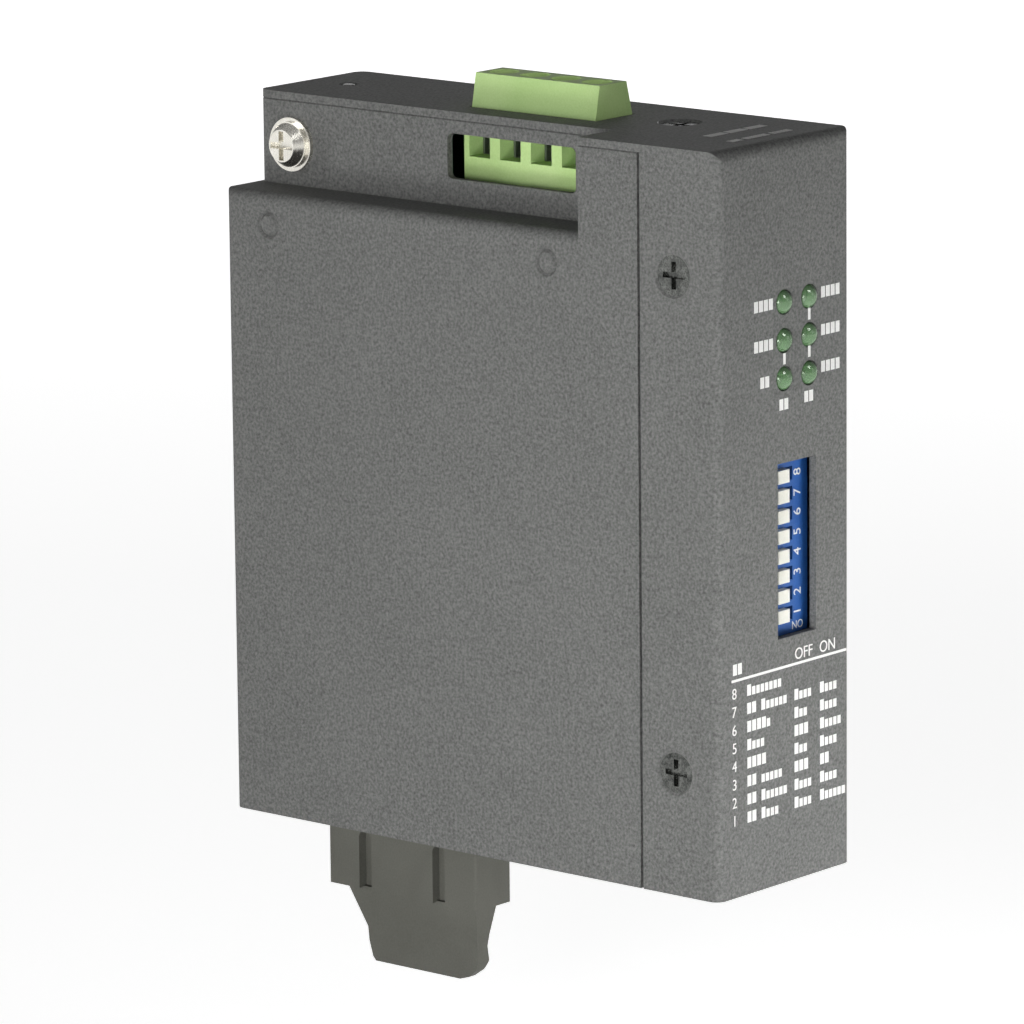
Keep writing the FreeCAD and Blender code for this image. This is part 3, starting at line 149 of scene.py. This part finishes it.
# %% Orange peel of the powder coat
coat_peel, start, end = new_group("orange_peel", {"Grain": 2600.0})
fine = add_node(coat_peel, "ShaderNodeTexNoise", Detail=3.0, Roughness=0.65)
coat_peel.links.new(start.outputs["Vector"], fine.inputs["Vector"])
coat_peel.links.new(start.outputs["Grain"], fine.inputs["Scale"])
clouds = add_node(coat_peel, "ShaderNodeTexNoise", Scale=60.0, Detail=4.0, Roughness=0.6)
coat_peel.links.new(start.outputs["Vector"], clouds.inputs["Vector"])
shade = blend_numbers(coat_peel, fine.outputs[0], clouds.outputs[0], 0.1)
coat_peel.links.new(shade, end.inputs["Shade"])
coat_peel.links.new(fine.outputs[0], end.inputs["Height"])
print("group", coat_peel.name)

# %% Grain of moulded plastic
mould_grain, start, end = new_group("mould_grain", {"Grain": 4200.0, "Clouds": 90.0})
pores = add_node(mould_grain, "ShaderNodeTexNoise", Detail=2.0, Roughness=0.5)
mould_grain.links.new(start.outputs["Vector"], pores.inputs["Vector"])
mould_grain.links.new(start.outputs["Grain"], pores.inputs["Scale"])
flow = add_node(mould_grain, "ShaderNodeTexNoise", Detail=3.0, Roughness=0.55, Distortion=0.6)
mould_grain.links.new(start.outputs["Vector"], flow.inputs["Vector"])
mould_grain.links.new(start.outputs["Clouds"], flow.inputs["Scale"])
shade = blend_numbers(mould_grain, pores.outputs[0], flow.outputs[0], 0.6)
mould_grain.links.new(shade, end.inputs["Shade"])
mould_grain.links.new(pores.outputs[0], end.inputs["Height"])
print("group", mould_grain.name)

# %% Lines of drawn metal
metal_lines, start, end = new_group("metal_lines", {"Lines": 1.0})
stretch = add_node(metal_lines, "ShaderNodeVectorMath", operation="MULTIPLY")
stretch.inputs[1].default_value = (5200.0, 5200.0, 260.0)
metal_lines.links.new(start.outputs["Vector"], stretch.inputs[0])
lines = add_node(metal_lines, "ShaderNodeTexNoise", Detail=3.0, Roughness=0.6)
metal_lines.links.new(stretch.outputs[0], lines.inputs["Vector"])
metal_lines.links.new(start.outputs["Lines"], lines.inputs["Scale"])
stains = add_node(metal_lines, "ShaderNodeTexNoise", Scale=420.0, Detail=4.0, Roughness=0.6)
metal_lines.links.new(start.outputs["Vector"], stains.inputs["Vector"])
shade = blend_numbers(metal_lines, lines.outputs[0], stains.outputs[0], 0.5)
metal_lines.links.new(shade, end.inputs["Shade"])
metal_lines.links.new(lines.outputs[0], end.inputs["Height"])
print("group", metal_lines.name)

# %% [markdown]
# ## Finishes
#
# One recipe makes every finish: the group's shade slides the colour between a dark and a light
# tone and the roughness between two values, and the group's height makes a bump that is only
# hundredths of a millimetre high. What is the same all over a surface, such as how metallic it
# is, is set on the shader itself.

# %% The recipe for a finish
def new_finish(name, grain, dark, light, rough, bump_mm, contrast=(0.3, 0.7), metallic=0.0,
               specular=0.5, grain_size=None, cloud_size=None):
    """A material: colour = dark to light by shade, roughness = rough[0] to rough[1] by shade."""
    material = bpy.data.materials.new(name)
    material.use_nodes = True
    sheet = material.node_tree
    shader = sheet.nodes["Principled BSDF"]
    shader.inputs["Metallic"].default_value = metallic
    shader.inputs["Specular IOR Level"].default_value = specular
    place = add_node(sheet, "ShaderNodeTexCoord")
    texture = add_node(sheet, "ShaderNodeGroup", node_tree=grain)
    sheet.links.new(place.outputs["Object"], texture.inputs["Vector"])
    if grain_size:
        texture.inputs["Grain"].default_value = grain_size
    if cloud_size:
        texture.inputs["Clouds"].default_value = cloud_size
    spread = add_node(sheet, "ShaderNodeMapRange", From_Min=contrast[0], From_Max=contrast[1])
    sheet.links.new(texture.outputs["Shade"], spread.inputs["Value"])
    tone = add_node(sheet, "ShaderNodeMix", data_type="RGBA")
    # A Mix node for colours takes its two colours at inputs 6 and 7
    tone.inputs[6].default_value = (*dark, 1)
    tone.inputs[7].default_value = (*light, 1)
    sheet.links.new(spread.outputs[0], tone.inputs[0])
    sheet.links.new(tone.outputs[2], shader.inputs["Base Color"])
    gloss = add_node(sheet, "ShaderNodeMapRange", To_Min=rough[0], To_Max=rough[1])
    sheet.links.new(spread.outputs[0], gloss.inputs["Value"])
    sheet.links.new(gloss.outputs[0], shader.inputs["Roughness"])
    bump = add_node(sheet, "ShaderNodeBump", Distance=bump_mm * MM)
    sheet.links.new(texture.outputs["Height"], bump.inputs["Height"])
    sheet.links.new(bump.outputs[0], shader.inputs["Normal"])
    return material


finishes = {}

# %% Coats and metals
finishes["black_coat"] = new_finish(
    "black_coat", coat_peel, (0.078, 0.08, 0.077), (0.215, 0.217, 0.21), (0.6, 0.72), 0.06,
    specular=0.2)
finishes["dark_steel"] = new_finish(
    "dark_steel", mould_grain, (0.045, 0.047, 0.045), (0.18, 0.185, 0.175), (0.14, 0.34), 0.02,
    contrast=(0.36, 0.64), metallic=1.0, cloud_size=700.0)
finishes["nickel"] = new_finish(
    "nickel", metal_lines, (0.6, 0.58, 0.52), (0.82, 0.8, 0.74), (0.16, 0.34), 0.004,
    metallic=1.0)
finishes["zinc"] = new_finish(
    "zinc", metal_lines, (0.36, 0.37, 0.38), (0.54, 0.55, 0.57), (0.3, 0.48), 0.006,
    metallic=1.0)
finishes["tinned"] = new_finish(
    "tinned", metal_lines, (0.6, 0.6, 0.6), (0.8, 0.8, 0.79), (0.22, 0.4), 0.004, metallic=1.0)
finishes["gilt"] = new_finish(
    "gilt", metal_lines, (0.75, 0.52, 0.2), (0.95, 0.72, 0.33), (0.18, 0.3), 0.003, metallic=1.0)
finishes["spring_steel"] = new_finish(
    "spring_steel", metal_lines, (0.34, 0.34, 0.36), (0.5, 0.5, 0.52), (0.25, 0.4), 0.003,
    metallic=1.0)
finishes["can_aluminium"] = new_finish(
    "can_aluminium", metal_lines, (0.64, 0.64, 0.65), (0.82, 0.82, 0.83), (0.28, 0.44), 0.004,
    metallic=1.0)
finishes["sleeve_metal"] = new_finish(
    "sleeve_metal", metal_lines, (0.68, 0.68, 0.66), (0.85, 0.85, 0.83), (0.2, 0.32), 0.002,
    metallic=1.0)
finishes["ferrite"] = new_finish(
    "ferrite", coat_peel, (0.06, 0.06, 0.062), (0.13, 0.13, 0.132), (0.6, 0.75), 0.03,
    grain_size=5200.0)
print(len(finishes), "coats and metals")

# %% Plastics and print
finishes["terminal_green"] = new_finish(
    "terminal_green", mould_grain, (0.47, 0.7, 0.25), (0.6, 0.81, 0.35), (0.42, 0.55), 0.008,
    specular=0.25)
finishes["switch_blue"] = new_finish(
    "switch_blue", mould_grain, (0.012, 0.075, 0.3), (0.03, 0.13, 0.42), (0.38, 0.5), 0.006)
finishes["lever_white"] = new_finish(
    "lever_white", mould_grain, (0.74, 0.73, 0.64), (0.86, 0.86, 0.78), (0.4, 0.5), 0.004)
finishes["plug_plastic"] = new_finish(
    "plug_plastic", mould_grain, (0.09, 0.09, 0.077), (0.135, 0.135, 0.118), (0.55, 0.65), 0.01,
    specular=0.2)
finishes["port_plastic"] = new_finish(
    "port_plastic", mould_grain, (0.02, 0.02, 0.022), (0.045, 0.045, 0.048), (0.4, 0.55), 0.01)
finishes["dark_plastic"] = new_finish(
    "dark_plastic", mould_grain, (0.018, 0.018, 0.018), (0.04, 0.04, 0.04), (0.4, 0.55), 0.008)
finishes["chip_plastic"] = new_finish(
    "chip_plastic", mould_grain, (0.022, 0.022, 0.024), (0.05, 0.05, 0.054), (0.5, 0.65), 0.012)
finishes["board"] = new_finish(
    "board", mould_grain, (0.015, 0.13, 0.05), (0.035, 0.22, 0.09), (0.3, 0.42), 0.006,
    grain_size=1500.0)
finishes["white_print"] = new_finish(
    "white_print", mould_grain, (0.68, 0.68, 0.66), (0.86, 0.86, 0.84), (0.55, 0.7), 0.004,
    specular=0.2)
print(len(finishes), "finishes so far")

# %% [markdown]
# The lamps are cast from clear resin with a green tint. Light goes through them, so their shader
# sends most of it on and bends it a little. Faint clouds in the tint come from the same grain as
# the plastics.

# %% Resin of the lamps
resin = new_finish(
    "lamp_plastic", mould_grain, (0.26, 0.6, 0.22), (0.5, 0.84, 0.44), (0.04, 0.1), 0.002,
    specular=1.0)
resin_shader = resin.node_tree.nodes["Principled BSDF"]
resin_shader.inputs["Transmission Weight"].default_value = 0.74
resin_shader.inputs["IOR"].default_value = 1.5
finishes["lamp_plastic"] = resin
print("resin sends on", resin_shader.inputs["Transmission Weight"].default_value)

# %% [markdown]
# The record names one finish for every solid node, and each finish above has the same name, so
# dressing the solids is a walk down that list.

# %% Dress the solids
finish_of = {row["node"]: row["material_slot"] for row in frame["record"]["subparts"]}
for node_name, solid in nodes.items():
    finish_name = finish_of[node_name]
    solid.data.materials.clear()
    solid.data.materials.append(finishes[finish_name])
print("dressed", len(nodes), "nodes in", len(set(finish_of.values())), "finishes")

# %% [markdown]
# ## Print
#
# The front is screen printed: a thin layer of white ink, pushed through a fine cloth. Each mark is
# a flat plate three hundredths of a millimetre thick that lies on the steel. Words are left out:
# where the real thing may have them, short blocks keep the rhythm of a line of text. The numbers
# of the switch and its OFF and ON are kept, because they say how it is used.
#
# A block is a rectangle, so many of them are worked out together as one array: the four corners
# at the bottom of the ink and the same four at its top.

# %% Helpers for print
INK = 0.03  # thickness of the ink, mm
CAP = 1.4  # height of a capital, mm
FONT_CAP_SHARE = 0.72  # share of the font's size that a capital fills
BLOCK_FACES = np.array([
    (3, 2, 1, 0), (4, 5, 6, 7), (0, 1, 5, 4), (1, 2, 6, 5), (2, 3, 7, 6), (3, 0, 4, 7)])
CORNER_U = np.array([0, 1, 1, 0])
CORNER_V = np.array([0, 0, 1, 1])
BLOCK_CORNERS = 8
QUARTER_TURNS = (
    np.array([(1, 0), (0, 1)]),
    np.array([(0, 1), (-1, 0)]),
    np.array([(-1, 0), (0, -1)]),
)


def ink_blocks(rectangles):
    """Blocks of ink: corner = low + (high - low) * (0 or 1), at height 0 and at height INK."""
    sides = np.asarray(rectangles, float)
    across = sides[:, [0]] + (sides[:, [2]] - sides[:, [0]]) * CORNER_U
    along = sides[:, [1]] + (sides[:, [3]] - sides[:, [1]]) * CORNER_V
    flat = np.stack([across, along], axis=2)
    bottom = np.dstack([flat, np.zeros(across.shape)])
    top = np.dstack([flat, np.full(across.shape, INK)])
    points = np.concatenate([bottom, top], axis=1).reshape(-1, 3)
    faces = (np.arange(len(sides))[:, None, None] * BLOCK_CORNERS + BLOCK_FACES).reshape(-1, 4)
    return points, [tuple(face) for face in faces.tolist()]


def ink_figures(text, height, centre, quarter_turns=0):
    """Figures of ink: the letters' outlines, turned by quarter turns and moved to their centre."""
    curve = bpy.data.curves.new("figures", "FONT")
    curve.body = text
    curve.size = height * MM / FONT_CAP_SHARE
    curve.extrude = INK * MM / 2
    carrier = bpy.data.objects.new("figures", curve)
    scene.collection.objects.link(carrier)
    shape = bpy.data.meshes.new_from_object(carrier)
    points = np.array([v.co for v in shape.vertices]) / MM
    faces = [tuple(f.vertices) for f in shape.polygons]
    bpy.data.objects.remove(carrier)
    bpy.data.meshes.remove(shape)
    bpy.data.curves.remove(curve)
    middle = (points.min(axis=0) + points.max(axis=0)) / 2
    flat = (points[:, :2] - middle[:2]) @ QUARTER_TURNS[quarter_turns]
    points = np.column_stack([flat + np.array(centre), points[:, 2] + INK / 2])
    return points, faces


print("ink is", INK, "mm thick, capitals are", CAP, "mm high")

# %% Helpers for new pieces
def join_shapes(shapes):
    """Several (points, faces) as one: each shape's face numbers start after the points so far."""
    points, faces, count = [], [], 0
    for some_points, some_faces in shapes:
        points.append(some_points)
        faces += [tuple(index + count for index in face) for face in some_faces]
        count += len(some_points)
    return np.vstack(points), faces


def ring_faces(rings, steps):
    """Faces of a row of rings: each quad joins two neighbours on a ring to the same two on the
    next ring, and one face closes each end."""
    ring = np.arange(rings - 1)[:, None] * steps
    here = np.arange(steps)[None, :]
    after = (here + 1) % steps
    corners = [ring + here, ring + after, ring + after + steps, ring + here + steps]
    quads = [tuple(face) for face in np.stack(corners, axis=2).reshape(-1, 4).tolist()]
    last = (rings - 1) * steps
    return quads + [tuple(range(steps - 1, -1, -1)), tuple(range(last, last + steps))]


def new_piece(name, points, faces, finish, body):
    """A piece whose mesh holds its place, with a finish of the record and a body to ride on."""
    mesh = bpy.data.meshes.new(name)
    mesh.from_pydata(points.tolist(), [], faces)
    mesh.validate()
    mesh.materials.append(finishes[finish])
    piece = bpy.data.objects.new(name, mesh)
    scene.collection.objects.link(piece)
    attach(piece, body)
    print(name, len(mesh.polygons), "faces")
    return piece


def lay_on_front(points, depth):
    """Ink on a plane that faces forward: across stays across, up is up, height goes forward."""
    return on_case(np.column_stack([points[:, 0], depth - points[:, 2], points[:, 1]]))


def lay_on_top(points, level):
    """Ink on a plane that faces up: across stays across, up the page is back, height is up."""
    return on_case(np.column_stack([points[:, 0], points[:, 1], level + points[:, 2]]))


# %% [markdown]
# A word is given by a short pattern: T for a tall block and o for a low one. Both are a little
# narrower than their step, so that the gaps between them show.

# %% Words as blocks
TALL_STEP = 0.98  # from one tall block to the next, mm
LOW_STEP = 0.86  # from one low block to the next, mm
GAP = 0.22  # between two blocks, mm
LOW_SHARE = 0.74  # height of a low block as a share of a tall one


def word_blocks(pattern, left, middle, cap=CAP):
    """Rectangles of one word: each block starts where the one before it ended, plus a gap."""
    rectangles = []
    bottom = middle - cap / 2
    scale = cap / CAP
    for letter in pattern:
        step = (TALL_STEP if letter == "T" else LOW_STEP) * scale
        high = bottom + (cap if letter == "T" else cap * LOW_SHARE)
        if letter != " ":
            rectangles.append((left, bottom, left + step - GAP * scale, high))
        left += step
    return rectangles


print("a four letter word is", round(TALL_STEP + 3 * LOW_STEP - GAP, 2), "mm wide")

# %% Print beside the lamps
lamp_columns = (13.4, 18.4)
lamp_rows = (64.2, 69.0, 73.8)
link_half = 0.24
left_column, right_column = lamp_columns
lamp_links = [
    (column - link_half, low, column + link_half, high)
    for column, low, high in (
        (right_column, 70.9, 72.4), (right_column, 66.2, 67.6), (left_column, 66.0, 67.4))
]
lamp_words = []
for pattern, left, level in (
        ("TTTT", 7.4, 73.9), ("TTTT", 7.4, 68.9), ("TT", 8.6, 64.3),
        ("TTTT", 20.8, 74.0), ("TTTT", 20.8, 69.25), ("TTTT", 20.8, 64.6),
        ("TT", 12.4, 61.0), ("TT", 17.4, 61.3)):
    lamp_words += word_blocks(pattern, left, level)
print(len(lamp_links), "links and", len(lamp_words), "blocks beside the lamps")

# %% [markdown]
# Below the switch is a small table. A line carries the words OFF and ON above it, and eight rows
# follow, one for each lever, from 8 at the top to 1 at the bottom.

# %% Print of the table
table_rows = {
    8: ("Tooooooo", "", ""),
    7: ("TT Tooooo", "Tooo", "Tooo"),
    6: ("TTTTo", "Too", "Tooo"),
    5: ("Tooo", "TTT", "Toooo"),
    4: ("TTTT", "Too", "Tooo"),
    3: ("TT ooooo", "TTT", "TT"),
    2: ("TT Tooooo", "Tooo", "Tooo"),
    1: ("TT Tooo", "Tooo", "Tooooo"),
}
ROW_PITCH = 2.31
ROW_LOWEST = 9.9
HEADING_CAP = 1.5
heading_level = 28.95
off_column, on_column = 17.2, 22.0
number_column = 3.25
column_lefts = (5.8, 15.3, 20.5)
table_line = (2.7, 27.55, 25.9, 27.88)
table_words = word_blocks("TT", 3.0, 29.1)
row_figures = []
for number, patterns in table_rows.items():
    level = ROW_LOWEST + (number - 1) * ROW_PITCH
    row_figures.append(ink_figures(str(number), CAP, (number_column, level)))
    for pattern, left in zip(patterns, column_lefts):
        table_words += word_blocks(pattern, left, level)
headings = [
    ink_figures("OFF", HEADING_CAP, (off_column, heading_level)),
    ink_figures("ON", HEADING_CAP, (on_column, heading_level)),
]
points, faces = join_shapes(
    [ink_blocks(lamp_links + lamp_words + table_words + [table_line])] + row_figures + headings)
new_piece("front_print", lay_on_front(points, 0.0), faces, "white_print", "case")

# %% [markdown]
# The blue switch is numbered too. Its numbers stand to the right of the levers and lie on their
# side, because such a switch is drawn to be read with its levers pointing up. Its small ON is
# upside down for the same reason.

# %% Print of the switch
SWITCH_FACE = 1.9  # the blue face lies this far behind the front plate
SWITCH_LOWEST = 33.72
SWITCH_PITCH = 2.54
FIGURE_CAP = 1.45
SMALL_CAP = 1.05
figure_column = 18.3
small_on_place = (18.35, 32.05)
switch_figures = []
for number in range(1, 9):
    level = SWITCH_LOWEST + (number - 1) * SWITCH_PITCH
    switch_figures.append(ink_figures(str(number), FIGURE_CAP, (figure_column, level), 1))
switch_figures.append(ink_figures("ON", SMALL_CAP, small_on_place, 2))
points, faces = join_shapes(switch_figures)
new_piece("switch_print", lay_on_front(points, SWITCH_FACE), faces, "white_print", "case")

# %% [markdown]
# On the top plate, near the front, are two rows of print. They are plain bars here: three thick
# ones and a row of thin ones.

# %% Print of the top plate
BAR_WIDTH = 3.4
THIN_CAP = 1.1
bar_front, bar_rear = 8.6, 9.9
thick_bars = [(left, bar_front, left + BAR_WIDTH, bar_rear) for left in (9.9, 13.8, 17.7)]
thin_bars = word_blocks("TTT TTTTTT TTTTT", 8.2, 4.4, THIN_CAP)
points, faces = ink_blocks(thick_bars + thin_bars)
new_piece("top_print", lay_on_top(points, CASE_TOP), faces, "white_print", "case")

# %% [markdown]
# ## Inside the lamps
#
# A lamp that is switched off still sparkles, because a small metal cup sits in its resin and
# throws light back. The cup is a shape turned about the lamp's axis, so it is a grid: the profile
# runs one way and the angle the other.

# %% Cups of the lamps
TURN_STEPS = 24


def turned(profile, centre):
    """A turned shape: (r * cos(angle), depth, r * sin(angle)) for each point and angle."""
    rim = np.asarray(profile, float)
    angle = np.linspace(0, 2 * math.pi, TURN_STEPS, endpoint=False)
    across = rim[:, [0]] * np.cos(angle)
    up = rim[:, [0]] * np.sin(angle)
    depth = np.repeat(rim[:, [1]], TURN_STEPS, axis=1)
    points = np.stack([across + centre[0], depth, up + centre[1]], axis=2).reshape(-1, 3)
    # Depth runs against the turning sense of x and z, so the faces are reversed to face outward
    return points, [face[::-1] for face in ring_faces(len(rim), TURN_STEPS)]


# Radius and depth behind the front plate: the cup's floor, its rim, its outside and its post
cup_profile = [
    (0.02, 2.1), (0.3, 2.1), (0.62, 1.55), (0.78, 1.5), (0.8, 1.6), (0.8, 2.6), (0.3, 2.7),
    (0.3, 4.1), (0.02, 4.1)]
points, faces = join_shapes(
    [turned(cup_profile, (x, z)) for x in lamp_columns for z in lamp_rows])
new_piece("lamp_cups", on_case(points), faces, "tinned", "case")

# %% [markdown]
# ## Spring of the latch
#
# The rail latch hangs on a small coil spring, which is pressed together when the latch is pulled
# down. Here the solid coil is worked out once more, as a round wire carried along a helix. It
# rides on the case and keeps its length as the latch moves.

# %% Coil of the spring
SPRING_TURNS = 7
WIRE_RADIUS = 0.22 * MM
COIL_STEPS = 32  # places along the wire in each turn
WIRE_STEPS = 12  # points around the wire


def coiled_wire(low, high):
    """A coil that fills a box: middle + radius * (cos t, sin t) while z rises evenly from low to
    high, and around it the wire's circle, wire * (cos a * outwards + sin a * across)."""
    centre = (low + high) / 2
    radius = (high[0] - low[0]) / 2 - WIRE_RADIUS
    turn = np.linspace(0, 2 * math.pi * SPRING_TURNS, COIL_STEPS * SPRING_TURNS + 1)
    rise = np.linspace(low[2] + WIRE_RADIUS, high[2] - WIRE_RADIUS, len(turn))
    zero = np.zeros(len(turn))
    line = np.column_stack([
        centre[0] + radius * np.cos(turn), centre[1] + radius * np.sin(turn), rise])
    outwards = np.column_stack([np.cos(turn), np.sin(turn), zero])
    slope = (rise[-1] - rise[0]) / turn[-1]
    along = np.column_stack([-radius * np.sin(turn), radius * np.cos(turn), zero + slope])
    across = np.cross(along / np.linalg.norm(along, axis=1)[:, None], outwards)
    around = np.linspace(0, 2 * math.pi, WIRE_STEPS, endpoint=False)[None, :, None]
    circle = np.cos(around) * outwards[:, None, :] + np.sin(around) * across[:, None, :]
    points = (line[:, None, :] + WIRE_RADIUS * circle).reshape(-1, 3)
    return points, ring_faces(len(turn), WIRE_STEPS)


spring_box = [np.array(corner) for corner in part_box("latch_spring")]
points, faces = coiled_wire(*spring_box)
spring_coil = new_piece("spring_coil", points, faces, "spring_steel", "case")
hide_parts("latch_spring")
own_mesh(spring_coil)

# %% [markdown]
# ## Studio
#
# The photograph was taken in a bright, soft room over a white floor. Much of its light comes from
# the left, the front and below, thrown back by the floor, which is why the top plate looks darker
# than the sides. A room that is brighter below than above gives a part of that, and lamps give
# the rest.
#
# The floor lies just low enough for the dust plug to be pulled out above it. The floor and the
# room look plain white to the camera and in mirrors, while the floor keeps a faint shadow.

# %% Rays that see a thing directly
def seen_directly(sheet):
    """1 for rays from the camera, in a mirror or through clear things, and 0 for all others."""
    path = add_node(sheet, "ShaderNodeLightPath")
    direct = path.outputs["Is Camera Ray"]
    for other in ("Is Glossy Ray", "Is Transmission Ray"):
        either = add_node(sheet, "ShaderNodeMath", operation="MAXIMUM")
        sheet.links.new(direct, either.inputs[0])
        sheet.links.new(path.outputs[other], either.inputs[1])
        direct = either.outputs[0]
    return direct


print("the floor and the room can be told from what they light")

# %% Room
world = bpy.data.worlds.new("soft_room")
scene.world = world
world.use_nodes = True
sheet = world.node_tree
sheet.nodes.clear()
direction = add_node(sheet, "ShaderNodeTexCoord")
split = add_node(sheet, "ShaderNodeSeparateXYZ")
sheet.links.new(direction.outputs["Generated"], split.inputs[0])
sky = add_node(sheet, "ShaderNodeMapRange", From_Min=-1.0, From_Max=1.0, To_Min=0.35, To_Max=0.05)
sheet.links.new(split.outputs["Z"], sky.inputs["Value"])
seen = seen_directly(sheet)
room_light = add_node(sheet, "ShaderNodeBackground")
sheet.links.new(sky.outputs[0], room_light.inputs["Strength"])
dimming = add_node(
    sheet, "ShaderNodeMapRange", From_Min=0.02, From_Max=0.35, To_Min=1.0, To_Max=0.3)
sheet.links.new(split.outputs["Z"], dimming.inputs["Value"])
backdrop = add_node(sheet, "ShaderNodeBackground")
backdrop.inputs["Color"].default_value = (1, 1, 1, 1)
sheet.links.new(dimming.outputs[0], backdrop.inputs["Strength"])
choose = add_node(sheet, "ShaderNodeMixShader")
sheet.links.new(seen, choose.inputs[0])
sheet.links.new(room_light.outputs[0], choose.inputs[1])
sheet.links.new(backdrop.outputs[0], choose.inputs[2])
room_end = add_node(sheet, "ShaderNodeOutputWorld")
sheet.links.new(choose.outputs[0], room_end.inputs["Surface"])
print("room light goes from", round(sky.inputs["To Min"].default_value, 2), "below to",
      round(sky.inputs["To Max"].default_value, 2), "above")

# %% Floor
FLOOR_HALF = 3.0
PLUG_CLEARANCE = 0.0002
travel_of = {joint["name"]: joint["range_m"][1] for joint in frame["joints"]
             if joint["type"] == "slide"}
floor_level = cad_box[0][2] - travel_of["plug_pull"] - PLUG_CLEARANCE
corners = np.array([(-1, -1, 0), (1, -1, 0), (1, 1, 0), (-1, 1, 0)]) * FLOOR_HALF
corners[:, 2] = floor_level
floor_mesh = bpy.data.meshes.new("floor")
floor_mesh.from_pydata(corners.tolist(), [], [(0, 1, 2, 3)])
floor = bpy.data.objects.new("floor", floor_mesh)
scene.collection.objects.link(floor)
print("floor at", round(floor_level, 5))

# %% Paint of the floor
FLOOR_LIFT = 0.76  # glow near the object; far away it rises to 1
paint = bpy.data.materials.new("floor_white")
paint.use_nodes = True
sheet = paint.node_tree
sheet.nodes.clear()
matt = add_node(sheet, "ShaderNodeBsdfDiffuse")
matt.inputs["Color"].default_value = (0.8, 0.8, 0.8, 1)
seen = seen_directly(sheet)
place = add_node(sheet, "ShaderNodeTexCoord")
distance = add_node(sheet, "ShaderNodeVectorMath", operation="LENGTH")
sheet.links.new(place.outputs["Object"], distance.inputs[0])
fade = add_node(
    sheet, "ShaderNodeMapRange", From_Min=0.3, From_Max=1.3, To_Min=FLOOR_LIFT, To_Max=1.0)
sheet.links.new(distance.outputs["Value"], fade.inputs["Value"])
lift = add_node(sheet, "ShaderNodeMath", operation="MULTIPLY")
sheet.links.new(seen, lift.inputs[0])
sheet.links.new(fade.outputs[0], lift.inputs[1])
glow = add_node(sheet, "ShaderNodeEmission")
sheet.links.new(lift.outputs[0], glow.inputs["Strength"])
both = add_node(sheet, "ShaderNodeAddShader")
sheet.links.new(matt.outputs[0], both.inputs[0])
sheet.links.new(glow.outputs[0], both.inputs[1])
floor_end = add_node(sheet, "ShaderNodeOutputMaterial")
sheet.links.new(both.outputs[0], floor_end.inputs["Surface"])
floor_mesh.materials.append(paint)
print("the floor glows", FLOOR_LIFT, "near the object")

# %% [markdown]
# Each lamp is a soft disk. One at the left lights the side, and a weaker one the front. Two high
# ones only show in glossy things, where they give the metal its highlights and each dome of resin
# its glints. Two low ones stand for light from the floor: they make the lower part of the case
# brighter than the upper part, and they don't show in glossy things. Two more light the far side
# and the rear, which other views show.

# %% Lamps of the studio
def aim(target, place, roll_degrees=0.0):
    """Turn that looks from a place to a target: its -Z points there and its X stays level."""
    ahead = (Vector(target) - Vector(place)).normalized()
    level = ahead.cross(Vector((0, 0, 1))).normalized()
    upright = level.cross(ahead)
    roll = math.radians(roll_degrees)
    side = level * math.cos(roll) + upright * math.sin(roll)
    rise = upright * math.cos(roll) - level * math.sin(roll)
    return Matrix((side, rise, -ahead)).transposed()


def soft_lamp(name, place, target, size, power):
    """A disk of light: size is its width in metres, power is in watts; the camera can't see it."""
    data = bpy.data.lights.new(name, "AREA")
    data.shape = "DISK"
    data.size = size
    data.energy = power
    lamp = bpy.data.objects.new(name, data)
    lamp.matrix_world = Matrix.Translation(place) @ aim(target, place).to_4x4()
    lamp.visible_camera = False
    scene.collection.objects.link(lamp)
    return lamp


middle = (cad_box[0] + cad_box[1]) / 2
foot_of_side = (-0.017, -0.07, -0.05)
foot_of_front = (0.0, -0.083, -0.05)
lamps = {
    "left_softbox": ((-0.6, -0.25, 0.04), middle, 0.25, 1.45),
    "left_high_lamp": ((-0.82, 0.26, 0.84), middle, 0.5, 7),
    "front_high_lamp": ((0.08, -0.8, 0.92), middle, 0.5, 7),
    "right_softbox": ((0.6, -1.2, 0.45), middle, 0.6, 1.2),
    "far_side_lamp": ((1.3, 0.45, 0.12), middle, 0.3, 5.5),
    "rear_lamp": ((-0.62, 1.28, 0.12), middle, 0.3, 4.5),
    "left_low_lamp": ((-0.2, -0.15, -0.06), foot_of_side, 0.08, 0.25),
    "front_low_lamp": ((0.04, -0.2, -0.055), foot_of_front, 0.08, 0.16),
}
for name, settings in lamps.items():
    lamp = soft_lamp(name, *settings)
    lamp.visible_diffuse = "high" not in name
    lamp.visible_glossy = "low" not in name
print(len(lamps), "studio lamps around", [round(v, 3) for v in middle])

# %% [markdown]
# ## Camera
#
# The photograph was taken from far away with a long lens, from the front left and a little above.
# The place and the lens below were worked out from known points on the case, such as the screws,
# the lamps and the corners.

# %% Camera
camera_place = (-0.69501, -0.62443, 0.18280)
camera_target = (-0.045024, -0.073810, 0.006050)
camera_roll = -0.5645
camera_data = bpy.data.cameras.new("camera")
camera_data.lens = 254.26
camera_data.sensor_width = 36.0
camera_data.clip_start = 0.05
camera = bpy.data.objects.new("camera", camera_data)
camera.matrix_world = (
    Matrix.Translation(camera_place) @ aim(camera_target, camera_place, camera_roll).to_4x4())
scene.collection.objects.link(camera)
scene.camera = camera
scene.view_settings.view_transform = "Standard"
print("camera is", round((Vector(camera_target) - Vector(camera_place)).length, 3), "m away")
